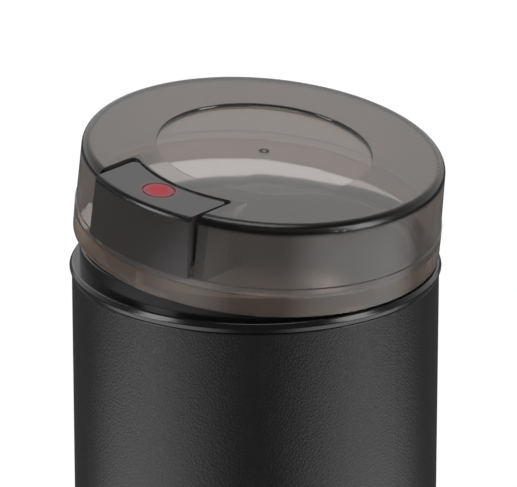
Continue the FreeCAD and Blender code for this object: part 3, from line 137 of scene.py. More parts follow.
# The room is white where the camera looks, and the polish of the grinder shows that
# white. The camera's own side of the room is dimmer.
ROOM_LIGHT = 0.42
ROOM_POLISH = (0.06, 1.0)
ROOM_TURN = (-0.35, 0.75)
world = bpy.data.worlds.new("white_room")
world.use_nodes = True
room = world.node_tree
room_path = add_node(room, "LightPath")
room_ahead = measure(room, "DOT_PRODUCT", add_node(room, "TexCoord").outputs["Generated"],
                     look)
room_polish = fade(room, room_ahead, ROOM_TURN, ROOM_POLISH, "SMOOTHSTEP")
room_light = mix_value(room, room_path.outputs["Is Glossy Ray"], ROOM_LIGHT, room_polish)
room_white = mix_value(room, seen_through(room, room_path), room_light, 1.0)
background = room.nodes["Background"]
background.inputs["Color"].default_value = (1, 1, 1, 1)
room.links.new(room_white, background.inputs["Strength"])
scene.world = world

LAMP_TARGET = Vector((0, 0, 0.12))


def hang_lamp(name, bearing, reach, height, wide, tall, power):
    """A soft box that faces the middle of the grinder."""
    lamp = bpy.data.objects.new(name, bpy.data.lights.new(name, "AREA"))
    lamp.data.shape = "RECTANGLE"
    lamp.data.size = wide
    lamp.data.size_y = tall
    lamp.data.energy = power
    lamp.location = on_table(bearing, reach, height)
    facing = LAMP_TARGET - lamp.location
    lamp.rotation_euler = facing.to_track_quat("-Z", "Y").to_euler()
    scene.collection.objects.link(lamp)


SIDE_BEARINGS = {"left": -112.5, "right": 15.5}
for side, side_bearing in SIDE_BEARINGS.items():
    hang_lamp("soft_box_" + side, side_bearing, reach=0.80, height=0.22, wide=0.30,
              tall=0.90, power=5.5)
hang_lamp("soft_box_top", VIEW_BEARING - 180, reach=0.20, height=1.10, wide=0.50,
          tall=0.50, power=3.0)

# The table is a faintly cloudy grey. The camera sees it as nearly white, a little darker
# close to the grinder.
TABLE_GREYS = (0.42, 0.46)
TABLE_GLOW = (0.66, 0.84)
TABLE_GLOW_REACH = (0.25, 1.2)
table_top = bpy.data.materials.new("table_top")
table_top.use_nodes = True
table_tree = table_top.node_tree
table_tree.nodes.clear()
table_place = add_node(table_tree, "TexCoord").outputs["Object"]
table_reach = measure(table_tree, "LENGTH", table_place)
table_path = add_node(table_tree, "LightPath")
table_seen = seen_through(table_tree, table_path)
table_cloudy = add_node(table_tree, "TexNoise", {"Vector": table_place, "Scale": 2.0,
                                                 "Detail": 3.0})
table_colour = add_node(table_tree, "ValToRGB", {"Fac": table_cloudy.outputs["Fac"]})
for element, grey in zip(table_colour.color_ramp.elements, TABLE_GREYS):
    element.color = (grey, grey, grey, 1)
table_skin = add_node(table_tree, "BsdfDiffuse", {"Color": table_colour.outputs["Color"]})
table_far = fade(table_tree, table_reach, TABLE_GLOW_REACH, TABLE_GLOW)
table_glow = add_node(table_tree, "Emission", {
    "Strength": calculate(table_tree, "MULTIPLY", table_far, table_seen)})
table_both = add_node(table_tree, "AddShader", {0: table_skin.outputs[0],
                                                1: table_glow.outputs[0]})

# A pale card glows on the table towards each side lamp, as a painted reflection for the polish
# of the grinder: only that polish shows the two cards, and to it the rest of the table is a dim
# glow.
CARD_WIDTH = (0.60, 0.996)
CARD_END = (0.33, 0.45)
CARD_BRIGHTNESS = 2.0
TABLE_POLISH = 0.10


def lay_card(bearing):
    """How far a direction, as seen from the middle of the table, lies on a card."""
    outwards = add_node(table_tree, "VectorMath", {0: table_place}, operation="NORMALIZE")
    towards = measure(table_tree, "DOT_PRODUCT", outwards.outputs["Vector"],
                      on_table(bearing, 1.0, 0.0))
    return fade(table_tree, towards, CARD_WIDTH, curve="SMOOTHSTEP")


table_cards = calculate(table_tree, "MAXIMUM", *map(lay_card, SIDE_BEARINGS.values()))
table_card_end = fade(table_tree, table_reach, CARD_END, (CARD_BRIGHTNESS, 0.0),
                      "SMOOTHSTEP")
# Painted reflection: the glowing cards and the dim rest of the table, seen by glossy rays only.
table_mirrored = add_node(table_tree, "Emission", {
    "Strength": calculate(table_tree, "MULTIPLY_ADD", table_cards, table_card_end,
                          TABLE_POLISH)})
table_gloss = calculate(table_tree, "SUBTRACT", table_path.outputs["Is Glossy Ray"],
                        table_seen, clamp=True)
table_all = add_node(table_tree, "MixShader", {0: table_gloss, 1: table_both.outputs[0],
                                               2: table_mirrored.outputs[0]})
add_node(table_tree, "OutputMaterial", {"Surface": table_all.outputs[0]})

table_shape = bmesh.new()
bmesh.ops.create_circle(table_shape, cap_ends=True, radius=6.0, segments=96)
table_mesh = bpy.data.meshes.new("table")
table_shape.to_mesh(table_mesh)
table_shape.free()
table_mesh.materials.append(table_top)
table = bpy.data.objects.new("table", table_mesh)
scene.collection.objects.link(table)


# Body shell. A tall moulded cup with no bottom, in satin black plastic whose mould was
# etched with a fine leather grain. Everything else is screwed into it.
DUST = (0.42, 0.40, 0.37, 1)
DUST_SPECKS = (0.60, 0.74)
GRAIN_WANDER = 0.0011
GRAIN_CROWN = (0.0, 0.32)
GRAIN_PORES = 0.35


def new_group(name, inputs, outputs):
    """A node group with named sockets, and its two end nodes."""
    group = bpy.data.node_groups.new(name, "ShaderNodeTree")
    for label, kind, value in inputs:
        socket = group.interface.new_socket(name=label, in_out="INPUT",
                                            socket_type="NodeSocket" + kind)
        socket.default_value = value
    for label, kind in outputs:
        group.interface.new_socket(name=label, in_out="OUTPUT",
                                   socket_type="NodeSocket" + kind)
    return group, group.nodes.new("NodeGroupInput"), group.nodes.new("NodeGroupOutput")


def place_group(tree, group, inputs):
    """Puts a node group into a material with that material's own values."""
    node = tree.nodes.new("ShaderNodeGroup")
    node.node_tree = group
    for name, value in inputs.items():
        feed(tree, node.inputs[name], value)
    return node.outputs


def scaled(tree, vector, factor):
    """A vector or a colour made longer or brighter by a factor."""
    return add_node(tree, "VectorMath", {0: vector, "Scale": factor},
                    operation="SCALE").outputs["Vector"]


def mix_colour(tree, factor, first, second):
    """The first colour where the factor is 0 and the second where it is 1."""
    node = add_node(tree, "Mix", {"Factor": factor}, data_type="RGBA")
    ends = [socket for socket in node.inputs if socket.type == "RGBA"]
    for end, colour in zip(ends, (first, second)):
        feed(tree, end, colour)
    return [socket for socket in node.outputs if socket.type == "RGBA"][0]


def make_surface_life():
    """Colour that drifts a little, dust and handling marks: shared by every finish."""
    group, into, out = new_group(
        "surface_life",
        [("Vector", "Vector", (0, 0, 0)), ("Colour", "Color", (0.5, 0.5, 0.5, 1)),
         ("Size", "Float", 60.0), ("Drift", "Float", 0.12), ("Dust", "Float", 0.05),
         ("Roughness", "Float", 0.4), ("Rubbing", "Float", 0.06)],
        [("Colour", "Color"), ("Roughness", "Float")])
    given = into.outputs
    drift = add_node(group, "TexNoise", {"Vector": given["Vector"], "Scale": given["Size"],
                                         "Detail": 4.0})
    centred = calculate(group, "SUBTRACT", drift.outputs["Fac"], 0.5)
    strength = calculate(group, "MULTIPLY", centred, given["Drift"])
    shaded = scaled(group, given["Colour"], calculate(group, "ADD", strength, 1.0))
    specks = add_node(group, "TexNoise", {"Vector": given["Vector"], "Scale": 1700.0,
                                          "Detail": 2.0, "Roughness": 0.7})
    few = fade(group, specks.outputs["Fac"], DUST_SPECKS)
    dusted = mix_colour(group, calculate(group, "MULTIPLY", few, given["Dust"]), shaded, DUST)
    rubbed = add_node(group, "TexNoise", {"Vector": given["Vector"], "Scale": 240.0,
                                          "Detail": 6.0, "Roughness": 0.62})
    around = calculate(group, "SUBTRACT", rubbed.outputs["Fac"], 0.5)
    amount = calculate(group, "MULTIPLY", around, given["Rubbing"])
    rough = calculate(group, "ADD", amount, given["Roughness"], clamp=True)
    group.links.new(dusted, out.inputs["Colour"])
    group.links.new(rough, out.inputs["Roughness"])
    return group


surface_life = make_surface_life()


def start_finish(name, colour, roughness, metallic=0.0, size=60.0, drift=0.12, dust=0.05,
                 rubbing=0.06, **constants):
    """A material whose colour and roughness come from the shared surface group."""
    material = bpy.data.materials.new(name)
    material.use_nodes = True
    tree = material.node_tree
    shader = tree.nodes["Principled BSDF"]
    place = add_node(tree, "TexCoord").outputs["Object"]
    life = place_group(tree, surface_life, {
        "Vector": place, "Colour": (*colour, 1), "Size": size, "Drift": drift,
        "Dust": dust, "Roughness": roughness, "Rubbing": rubbing})
    tree.links.new(life["Colour"], shader.inputs["Base Color"])
    tree.links.new(life["Roughness"], shader.inputs["Roughness"])
    shader.inputs["Metallic"].default_value = metallic
    for label, value in constants.items():
        shader.inputs[label.replace("_", " ")].default_value = value
    return material, tree, shader, place, life


def add_relief(tree, shader, height, depth, strength=1.0):
    """Bumps of a given depth in metres."""
    bump = add_node(tree, "Bump", {"Height": height, "Distance": depth, "Strength": strength})
    tree.links.new(bump.outputs["Normal"], shader.inputs["Normal"])


def cover(material, *names):
    """Gives construction nodes their finish."""
    for name in names:
        slots = frame["nodes"][name].data.materials
        for index in range(len(slots)):
            slots[index] = material


def leather_black():
    """Small crowns of uneven outline side by side, with pores all over them."""
    material, tree, shader, place, _ = start_finish(
        "leather_black", (0.0058, 0.0056, 0.0057), roughness=0.36, drift=0.25, dust=0.02,
        rubbing=0.10, Specular_IOR_Level=0.42)
    wander = add_node(tree, "TexNoise", {"Vector": place, "Scale": 420.0, "Detail": 2.0})
    bent = add_node(tree, "VectorMath", {
        0: place, 1: scaled(tree, wander.outputs["Color"], GRAIN_WANDER)}, operation="ADD")
    cells = add_node(tree, "TexVoronoi", {"Vector": bent.outputs["Vector"], "Scale": 1050.0},
                     feature="DISTANCE_TO_EDGE")
    crown = fade(tree, cells.outputs["Distance"], GRAIN_CROWN, curve="SMOOTHSTEP")
    pores = add_node(tree, "TexNoise", {"Vector": place, "Scale": 3600.0, "Detail": 3.0})
    grain = calculate(tree, "MULTIPLY_ADD", pores.outputs["Fac"], GRAIN_PORES, crown)
    add_relief(tree, shader, grain, depth=0.00005, strength=0.5)
    return material


cover(leather_black(), "body_shell")


# Base. A black moulded plate closes the shell from below, with three screws from
# underneath and four rubber feet pushed into it. A rubber gland lines the cord's hole.
SKIN_FLOW = 1.6


def make_moulded_skin():
    """The faint pebble and flow of plain moulded plastic or rubber."""
    group, into, out = new_group(
        "moulded_skin", [("Vector", "Vector", (0, 0, 0)), ("Pebble", "Float", 2200.0),
                         ("Flow", "Float", 90.0)], [("Height", "Float")])
    given = into.outputs
    pebble = add_node(group, "TexNoise", {"Vector": given["Vector"],
                                          "Scale": given["Pebble"], "Detail": 3.0})
    flow = add_node(group, "TexNoise", {"Vector": given["Vector"], "Scale": given["Flow"],
                                        "Detail": 1.0})
    total = calculate(group, "MULTIPLY_ADD", flow.outputs["Fac"], SKIN_FLOW,
                      pebble.outputs["Fac"])
    group.links.new(total, out.inputs["Height"])
    return group


moulded_skin = make_moulded_skin()


def add_skin(tree, shader, place, pebble, flow, depth):
    """Gives a finish the skin of the mould that it came from."""
    skin = place_group(tree, moulded_skin, {"Vector": place, "Pebble": pebble, "Flow": flow})
    add_relief(tree, shader, skin["Height"], depth)


def moulded(name, colour, roughness, pebble=2200.0, flow=90.0, depth=0.00002, **more):
    """Plastic or rubber straight from the mould."""
    material, tree, shader, place, _ = start_finish(name, colour, roughness, **more)
    add_skin(tree, shader, place, pebble, flow, depth)
    return material


cover(moulded("base_black", (0.016, 0.016, 0.017), roughness=0.55, dust=0.06), "base_plate")
cover(moulded("foot_rubber", (0.022, 0.021, 0.021), roughness=0.72, pebble=900.0,
              depth=0.00004, dust=0.10, Specular_IOR_Level=0.35),
      "rubber_foot_1", "rubber_foot_2", "rubber_foot_3", "rubber_foot_4")
cover(moulded("gland_rubber", (0.014, 0.014, 0.014), roughness=0.62, pebble=1300.0,
              depth=0.00003, dust=0.05), "cord_gland")


def make_tool_marks():
    """Fine lines left by a cutting tool or a drawing die, stretched along one direction."""
    group, into, out = new_group(
        "tool_marks", [("Vector", "Vector", (0, 0, 0)), ("Stretch", "Vector", (1, 1, 1)),
                       ("Fineness", "Float", 2500.0), ("Roughness", "Float", 0.3),
                       ("Streaks", "Float", 0.2)],
        [("Height", "Float"), ("Roughness", "Float")])
    given = into.outputs
    stretched = add_node(group, "VectorMath", {0: given["Vector"], 1: given["Stretch"]},
                         operation="MULTIPLY")
    lines = add_node(group, "TexNoise", {"Vector": stretched.outputs["Vector"],
                                         "Scale": given["Fineness"], "Detail": 4.0,
                                         "Roughness": 0.65})
    centred = calculate(group, "SUBTRACT", lines.outputs["Fac"], 0.5)
    streak = calculate(group, "MULTIPLY_ADD", centred, given["Streaks"], given["Roughness"],
                       clamp=True)
    group.links.new(lines.outputs["Fac"], out.inputs["Height"])
    group.links.new(streak, out.inputs["Roughness"])
    return group


tool_marks = make_tool_marks()


def worked_metal(name, colour, roughness, stretch=(1, 1, 1), fineness=2500.0, streaks=0.2,
                 depth=0.000006, dust=0.02, vector=None, **more):
    """Bare metal with the lines of the tool that shaped it."""
    material, tree, shader, place, life = start_finish(
        name, colour, roughness, metallic=1.0, dust=dust, **more)
    marks = place_group(tree, tool_marks, {
        "Vector": vector(tree, place) if vector else place, "Stretch": stretch,
        "Fineness": fineness, "Roughness": life["Roughness"], "Streaks": streaks})
    tree.links.new(marks["Roughness"], shader.inputs["Roughness"])
    add_relief(tree, shader, marks["Height"], depth)
    return material


zinc_plate = worked_metal("zinc_plate", (0.56, 0.56, 0.57), roughness=0.34,
                          fineness=1500.0, drift=0.2, dust=0.04)
cover(zinc_plate, "base_screw_1", "base_screw_2", "base_screw_3")


# Motor frame. Two die-cast aluminium brackets hold the stack of stamped steel sheets with
# its two wound field coils between them, and the sintered bronze bushes of the shaft.
# A rubber ring keeps the hum of the motor out of the deck.
SHEET_SEAM = (0.02, 0.35)
SHEET_OIL = (0.07, 0.055, 0.045)
WIRE_GAP = (0.0, 0.5)
WIRE_SHADE = (0.10, 0.03, 0.012)
cover(worked_metal("bracket_aluminium", (0.66, 0.66, 0.67), roughness=0.46, fineness=900.0,
                   streaks=0.25, depth=0.00002, drift=0.15),
      "motor_bracket_top", "motor_bracket_bottom")
cover(zinc_plate, "motor_bolt_a", "motor_bolt_b")
bush_bronze = worked_metal("bush_bronze", (0.50, 0.33, 0.16), roughness=0.42,
                           fineness=2600.0, streaks=0.25, depth=0.000012, drift=0.3)
cover(bush_bronze, "upper_bush", "lower_bush")
seal_rubber = moulded("seal_rubber", (0.028, 0.027, 0.026), roughness=0.66, pebble=1500.0,
                      depth=0.00003, dust=0.06)
cover(seal_rubber, "motor_damper")


def darken_gaps(tree, shader, life, mask, dark):
    """Paints a dark colour where the mask is 0, and leaves the finish where it is 1."""
    painted = mix_colour(tree, mask, (*dark, 1), life["Colour"])
    tree.links.new(painted, shader.inputs["Base Color"])


def stacked_sheets():
    """Half millimetre steel sheets one on the other, with rust and oil between them."""
    material, tree, shader, place, life = start_finish(
        "stacked_sheets", (0.30, 0.285, 0.27), roughness=0.42, metallic=1.0, drift=0.35,
        dust=0.03)
    sheets = add_node(tree, "TexWave", {"Vector": place, "Scale": 314.0, "Distortion": 0.4,
                                        "Detail": 1.0, "Detail Scale": 4.0},
                      wave_type="BANDS", bands_direction="Z", wave_profile="SIN")
    seam = fade(tree, sheets.outputs["Fac"], SHEET_SEAM)
    darken_gaps(tree, shader, life, seam, SHEET_OIL)
    add_relief(tree, shader, seam, depth=0.00006)
    return material


def wound_wire(name, direction):
    """Enamelled copper wire laid turn on turn."""
    material, tree, shader, place, life = start_finish(
        name, (0.52, 0.19, 0.075), roughness=0.27, metallic=1.0, drift=0.5, size=300.0,
        Coat_Weight=0.5, Coat_Roughness=0.12)
    turns = add_node(tree, "TexWave", {"Vector": place, "Scale": 400.0, "Distortion": 1.2,
                                       "Detail": 2.0, "Detail Scale": 3.0},
                     wave_type="BANDS", bands_direction=direction, wave_profile="SIN")
    gap = fade(tree, turns.outputs["Fac"], WIRE_GAP)
    darken_gaps(tree, shader, life, gap, WIRE_SHADE)
    add_relief(tree, shader, turns.outputs["Fac"], depth=0.00018)
    return material


lamination_steel = stacked_sheets()
cover(lamination_steel, "stator_core")
cover(wound_wire("field_wire", "X"), "field_coil_left", "field_coil_right")


# Rotor. The ground shaft carries the armature, the commutator with its copper bars, and
# the off-white cooling fan. Two carbon brushes in moulded holders press on the bars.
COMMUTATOR_BARS = 12
MICA_EDGE = (0.08, 0.16)
MICA = (0.03, 0.022, 0.018)


def around_upright(tree, place):
    """Radius, height and nothing else, so that lines run round the upright axis."""
    parts = add_node(tree, "SeparateXYZ", {0: place}).outputs
    square_x = calculate(tree, "MULTIPLY", parts["X"], parts["X"])
    square = calculate(tree, "MULTIPLY_ADD", parts["Y"], parts["Y"], square_x)
    return add_node(tree, "CombineXYZ", {"X": calculate(tree, "SQRT", square),
                                         "Z": parts["Z"]}).outputs[0]


def copper_bars():
    """Copper bars side by side round the shaft, with dark mica between them."""
    material, tree, shader, place, life = start_finish(
        "copper_bars", (0.60, 0.27, 0.13), roughness=0.30, metallic=1.0, drift=0.3,
        size=200.0)
    parts = add_node(tree, "SeparateXYZ", {0: place}).outputs
    angle = calculate(tree, "ARCTAN2", parts["Y"], parts["X"])
    bars = calculate(tree, "MULTIPLY", angle, COMMUTATOR_BARS / math.pi)
    edge = fade(tree, calculate(tree, "PINGPONG", bars, 1.0), MICA_EDGE)
    darken_gaps(tree, shader, life, edge, MICA)
    marks = place_group(tree, tool_marks, {
        "Vector": around_upright(tree, place), "Fineness": 4000.0,
        "Roughness": life["Roughness"], "Streaks": 0.25})
    tree.links.new(marks["Roughness"], shader.inputs["Roughness"])
    add_relief(tree, shader, edge, depth=0.0001)
    return material


cover(worked_metal("shaft_steel", (0.60, 0.60, 0.61), roughness=0.22,
                   vector=around_upright, fineness=5000.0, streaks=0.15, depth=0.000003),
      "rotor_shaft")
cover(lamination_steel, "armature_core")
cover(wound_wire("armature_wire", "DIAGONAL"),
      "armature_winding_top", "armature_winding_bottom")
cover(copper_bars(), "commutator")
cover(moulded("fan_plastic", (0.62, 0.61, 0.57), roughness=0.48, pebble=1400.0, dust=0.25,
              drift=0.10), "cooling_fan")
cover(moulded("holder_plastic", (0.045, 0.032, 0.024), roughness=0.42, dust=0.10),
      "brush_holder_left", "brush_holder_right")
cover(moulded("brush_carbon", (0.03, 0.03, 0.033), roughness=0.38, pebble=2600.0,
              depth=0.00001, dust=0.03, Specular_IOR_Level=0.7),
      "carbon_brush_left", "carbon_brush_right")
spring_steel = worked_metal("spring_steel", (0.58, 0.58, 0.60), roughness=0.25,
                            fineness=3000.0)
cover(spring_steel, "brush_spring_left", "brush_spring_right")


# Circuit board. A brown paper laminate stands behind the motor and carries the yellow
# suppression capacitor, the black rectifier and the white thermal fuse. The microswitch
# hangs beside the motor in its own steel bracket, under a lever of spring steel.
FIBRE_SHADES = (0.7, 1.25)


def paper_laminate():
    """Brown laminate with upright paper fibres in its resin."""
    material, tree, shader, place, life = start_finish(
        "paper_laminate", (0.30, 0.17, 0.065), roughness=0.38, drift=0.4, size=500.0,
        dust=0.03)
    fibres = place_group(tree, tool_marks, {"Vector": place, "Stretch": (1, 1, 0.12),
                                            "Fineness": 1600.0})
    tinted = fade(tree, fibres["Height"], (0.0, 1.0), FIBRE_SHADES)
    tree.links.new(scaled(tree, life["Colour"], tinted), shader.inputs["Base Color"])
    add_relief(tree, shader, fibres["Height"], depth=0.00001)
    return material


cover(paper_laminate(), "circuit_board")
cover(moulded("capacitor_yellow", (0.62, 0.42, 0.06), roughness=0.30, dust=0.03),
      "suppression_capacitor")
cover(moulded("component_black", (0.018, 0.018, 0.019), roughness=0.33, dust=0.03),
      "rectifier")
cover(moulded("fuse_white", (0.70, 0.68, 0.62), roughness=0.22, pebble=1200.0, dust=0.03),
      "thermal_fuse")
cover(moulded("switch_plastic", (0.022, 0.022, 0.024), roughness=0.40, dust=0.03),
      "microswitch")
cover(worked_metal("bracket_steel", (0.58, 0.58, 0.59), roughness=0.38,
                   stretch=(0.15, 1, 0.15), fineness=1800.0), "switch_bracket")
cover(spring_steel, "switch_lever")


# Deck and collar. The grey deck plate hangs the motor under the bowl. The collar is the
# polished black ring on top: its lip shows as a thin bright line round the grinder, and
# its neck carries the lid.
cover(moulded("deck_plastic", (0.10, 0.10, 0.11), roughness=0.5, dust=0.05), "motor_deck")
cover(zinc_plate, "deck_screw_1", "deck_screw_2", "deck_screw_3")
cover(moulded("polished_black", (0.0045, 0.0045, 0.005), roughness=0.20, pebble=500.0,
              flow=60.0, depth=0.0000035, drift=0.2, dust=0.012, rubbing=0.05,
              Specular_IOR_Level=0.46), "collar")
cover(bush_bronze, "spindle_bush")
cover(seal_rubber, "spindle_seal")


# Bowl. Thin stainless steel, drawn to shape and left with a satin grain that runs round
# it. It drops into the neck on a rubber gasket.
cover(worked_metal("bowl_steel", (0.40, 0.39, 0.38), roughness=0.36, vector=around_upright,
                   fineness=2400.0, streaks=0.30, depth=0.000008, dust=0.03, drift=0.10),
      "grinding_bowl")
cover(seal_rubber, "bowl_gasket")


# Blade. A pressed steel blade with one tip up and one down, its edges ground bright, sits
# on a black moulded hub under a hexagonal nut.
BLADE_BEARING = math.radians(-40.0)


def along_blade(tree, place):
    """Coordinates turned with the blade, so that its grinding lines run along it."""
    return add_node(tree, "Mapping", {"Vector": place, "Rotation": (0, 0, BLADE_BEARING)}
                    ).outputs["Vector"]


cover(worked_metal("ground_steel", (0.62, 0.62, 0.62), roughness=0.26, vector=along_blade,
                   stretch=(1.0, 0.06, 1.0), fineness=2600.0, streaks=0.35, depth=0.00001,
                   drift=0.08), "grinding_blade")
cover(worked_metal("nut_steel", (0.60, 0.60, 0.60), roughness=0.18, vector=around_upright,
                   fineness=2000.0, streaks=0.12), "blade_nut")
cover(moulded("hub_plastic", (0.02, 0.02, 0.02), roughness=0.42, dust=0.03), "blade_hub")


# Switch rod. A thin steel rod stands up out of the rim in front on a coil spring. The
# pad's leg pushes it down, and it swings the lever onto the microswitch.
MERGE_DISTANCE = 0.000001
cover(worked_metal("rod_steel", (0.60, 0.60, 0.61), roughness=0.24, stretch=(1, 1, 0.2),
                   fineness=3000.0), "switch_rod")


def find_joint(name):
    """The construction's own record of a joint."""
    return [joint for joint in frame["joints"] if joint["name"] == name][0]


def merged_copy(name):
    """A copy of a construction node's mesh with its loose triangles joined up."""
    shape = bmesh.new()
    shape.from_mesh(frame["nodes"][name].data)
    bmesh.ops.remove_doubles(shape, verts=shape.verts, dist=MERGE_DISTANCE)
    for face in shape.faces:
        face.smooth = True
    return shape


def new_mesh_piece(name, shape, material, body, slot, *replaced):
    """Turns a finished bmesh into a piece of the grinder that rides on a body."""
    mesh = bpy.data.meshes.new(name)
    shape.to_mesh(mesh)
    shape.free()
    mesh.materials.append(material)
    piece = bpy.data.objects.new(name, mesh)
    scene.collection.objects.link(piece)
    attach(piece, body)
    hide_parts(*replaced)
    return piece


def shortening_spring(name, body):
    """A copy of a construction spring's coil, with a mesh of its own, riding on a body."""
    shape = merged_copy(name)
    spring = new_mesh_piece(name + "_coil", shape, spring_steel, body, "spring_steel", name)
    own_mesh(spring)


shortening_spring("rod_spring", "base")


# Lid. One moulding in clear smoke-brown acrylic, 1.6 mm thick, leaning on one of its two
# lugs. Its lowest 5 mm has a satin band that catches the light; the rest is polished.
# The moulding is the construction's own, parted at the upper edge of that band.
LID_BAND_HEIGHT = 0.0052
LID_PLATE_BEGINS = (0.0200, 0.0214)
LID_PLATE_COLOUR = (0.72, 0.69, 0.675, 1)
# The rounded upper edge and the gate's ring get nearly black painted shade.
LID_EDGE_REACH = (0.0420, 0.0432)
LID_EDGE_HEIGHT = (0.0204, 0.0216)
LID_PAINTED_SHADE = (0.006, 0.005, 0.004, 1)
LID_EDGE_SOFTENING = 0.22
GATE_RADIUS = 0.00100
GATE_LINE = (0.00022, 0.00040)
# The lugs seen through the band get painted shade.
LUG_REACH = (0.04315, 0.04325)
LUG_PAINTED_SHADE = (0.07, 0.05, 0.038, 1)
SMOKE_COLOUR = (0.44, 0.395, 0.37, 1)
SMOKE_DENSITY = 700.0
CUT_DISTANCE = 0.0000001
SHARP_ANGLE = math.radians(32)

lid_joint = find_joint("lid_tilt")
lid_hinge = Vector(lid_joint["pos_m"])
lid_lean = Matrix.Rotation(math.radians(-lid_joint["range_deg"][0]), 3,
                           Vector(lid_joint["axis"]))
lid_up = lid_lean @ Vector((0, 0, 1))
lid_seat = lid_hinge + lid_lean @ (Vector((0, 0, lid_hinge.z)) - lid_hinge)
lid_band_top = lid_seat + lid_up * LID_BAND_HEIGHT


def lid_place(tree, place):
    """Coordinates of the leaning lid, height over its edge and reach from its axis."""
    inside = add_node(tree, "Mapping", {
        "Vector": place, "Location": lid_seat, "Rotation": lid_lean.to_euler()},
        vector_type="TEXTURE").outputs["Vector"]
    parts = add_node(tree, "SeparateXYZ", {0: inside}).outputs
    flat = add_node(tree, "CombineXYZ", {"X": parts["X"], "Y": parts["Y"]})
    return inside, parts["Z"], measure(tree, "LENGTH", flat.outputs[0])


def rounded_edge(tree, height, reach, height_limits, reach_limits):
    """1 on a rounded upper edge, which bends the light away; callers paint nearly black shade
    there.
    """
    return calculate(tree, "MULTIPLY",
                     fade(tree, height, height_limits, curve="SMOOTHSTEP"),
                     fade(tree, reach, reach_limits, curve="SMOOTHSTEP"))


def clear_smoke():
    """The polished moulding, paler in its plate, with nearly black painted shade on its rounded
    edge and on the gate's ring in the middle.
    """
    material, tree, shader, place, life = start_finish(
        "clear_smoke", (0.74, 0.69, 0.655), roughness=0.035, drift=0.02, dust=0.0,
        rubbing=0.03, Transmission_Weight=0.95, IOR=1.49, Specular_IOR_Level=0.5)
    inside, height, reach = lid_place(tree, place)
    high = fade(tree, height, LID_PLATE_BEGINS, curve="SMOOTHSTEP")
    plate = mix_colour(tree, high, life["Colour"], LID_PLATE_COLOUR)
    rounded = rounded_edge(tree, height, reach, LID_EDGE_HEIGHT, LID_EDGE_REACH)
    gate_near = calculate(tree, "ABSOLUTE", calculate(tree, "SUBTRACT", reach, GATE_RADIUS))
    gate = calculate(tree, "MULTIPLY", fade(tree, gate_near, GATE_LINE, (1.0, 0.0)), high)
    # Painted shade: the rounded upper edge and the gate's real ring are painted nearly black.
    dark = calculate(tree, "MAXIMUM", rounded, gate)
    tree.links.new(mix_colour(tree, dark, plate, LID_PAINTED_SHADE),
                   shader.inputs["Base Color"])
    soft = calculate(tree, "MULTIPLY_ADD", rounded, LID_EDGE_SOFTENING, life["Roughness"])
    tree.links.new(soft, shader.inputs["Roughness"])
    add_skin(tree, shader, inside, pebble=160.0, flow=26.0, depth=0.0000015)
    smoke = add_node(tree, "VolumeAbsorption", {"Color": SMOKE_COLOUR,
                                                "Density": SMOKE_DENSITY})
    tree.links.new(smoke.outputs["Volume"], tree.nodes["Material Output"].inputs["Volume"])
    return material


def satin_smoke():
    """The band left satin by the mould, with painted shade on the thick lugs inside it."""
    material, tree, shader, place, life = start_finish(
        "satin_smoke", (0.34, 0.265, 0.215), roughness=0.14, drift=0.20, size=120.0,
        dust=0.0, rubbing=0.10, Transmission_Weight=0.90, IOR=1.49,
        Specular_IOR_Level=0.38)
    inside, _, reach = lid_place(tree, place)
    # Painted shade: the inner faces of the lugs are painted dark.
    lug = fade(tree, reach, LUG_REACH, (1.0, 0.0))
    tree.links.new(mix_colour(tree, lug, life["Colour"], LUG_PAINTED_SHADE),
                   shader.inputs["Base Color"])
    add_skin(tree, shader, inside, pebble=1500.0, flow=60.0, depth=0.00001)
    return material


def part_of_lid(keep_above):
    """The lid's moulding above or below the edge of the band, closed again at the cut."""
    shape = merged_copy("lid_shell")
    cut = bmesh.ops.bisect_plane(
        shape, geom=shape.verts[:] + shape.edges[:] + shape.faces[:], dist=CUT_DISTANCE,
        plane_co=lid_band_top, plane_no=lid_up, clear_outer=not keep_above,
        clear_inner=keep_above)
    rim = [edge for edge in cut["geom_cut"] if isinstance(edge, bmesh.types.BMEdge)]
    bmesh.ops.triangle_fill(shape, edges=rim, use_beauty=True,
                            normal=-lid_up if keep_above else lid_up)
    bmesh.ops.recalc_face_normals(shape, faces=shape.faces)
    for face in shape.faces:
        face.smooth = True
    for edge in shape.edges:
        edge.smooth = not edge.is_manifold or edge.calc_face_angle() < SHARP_ANGLE
    return shape


def even_shading(piece):
    """Keeps flat faces flat beside their rounded edges."""
    weigh = piece.modifiers.new("even_shading", "WEIGHTED_NORMAL")
    weigh.mode = "FACE_AREA"
    weigh.weight = 100
    weigh.keep_sharp = True


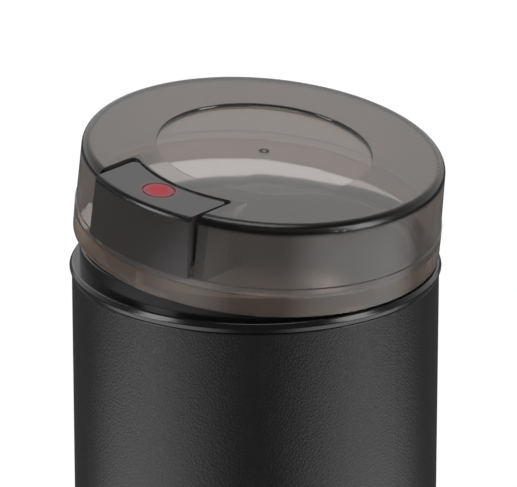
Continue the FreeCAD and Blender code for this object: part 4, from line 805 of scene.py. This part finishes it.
even_shading(new_mesh_piece("lid_dome", part_of_lid(keep_above=True), clear_smoke(), "lid",
                            "lid_smoke", "lid_shell"))
even_shading(new_mesh_piece("lid_band", part_of_lid(keep_above=False), satin_smoke(), "lid",
                            "lid_smoke", "lid_shell"))


# Press pad. A hollow key in darker smoke plastic in the front of the lid, with a round
# mark on top that is lightly tinted red. Two springs lift it and two screws hold it.
PAD_MARK = Vector((0.0, -0.0378, 0.02325))
PAD_MARK_FADE = (0.0010, 0.0058)
PAD_MARK_COLOUR = (0.36, 0.0008, 0.014, 1)
PAD_MARK_SOFTENING = 0.40
# The pad's rounded upper edge gets nearly black painted shade.
PAD_EDGE_REACH = (0.0449, 0.0454)
PAD_EDGE_HEIGHT = (0.0216, 0.0222)
PAD_EDGE_PAINTED_SHADE = (0.003, 0.0025, 0.0025, 1)
PAD_EDGE_SOFTENING = 0.16


def dark_smoke():
    """The pad's own plastic, matt and red on its mark, with nearly black painted shade on its
    edge.
    """
    material, tree, shader, place, life = start_finish(
        "dark_smoke", (0.030, 0.026, 0.026), roughness=0.10, drift=0.15, dust=0.01,
        rubbing=0.05, IOR=1.49, Specular_IOR_Level=0.46)
    inside, height, reach = lid_place(tree, place)
    red = fade(tree, measure(tree, "DISTANCE", inside, PAD_MARK), PAD_MARK_FADE, (1.0, 0.0),
               "SMOOTHERSTEP")
    tinted = mix_colour(tree, red, life["Colour"], PAD_MARK_COLOUR)
    # Painted shade: the rounded upper edge is painted nearly black.
    rounded = rounded_edge(tree, height, reach, PAD_EDGE_HEIGHT, PAD_EDGE_REACH)
    tree.links.new(mix_colour(tree, rounded, tinted, PAD_EDGE_PAINTED_SHADE),
                   shader.inputs["Base Color"])
    matt = calculate(tree, "MULTIPLY_ADD", red, PAD_MARK_SOFTENING, life["Roughness"])
    soft = calculate(tree, "MULTIPLY_ADD", rounded, PAD_EDGE_SOFTENING, matt)
    tree.links.new(soft, shader.inputs["Roughness"])
    add_skin(tree, shader, inside, pebble=400.0, flow=60.0, depth=0.000006)
    return material


cover(dark_smoke(), "press_pad")
cover(zinc_plate, "pad_screw_left", "pad_screw_right")
shortening_spring("pad_spring_left", "lid")
shortening_spring("pad_spring_right", "lid")
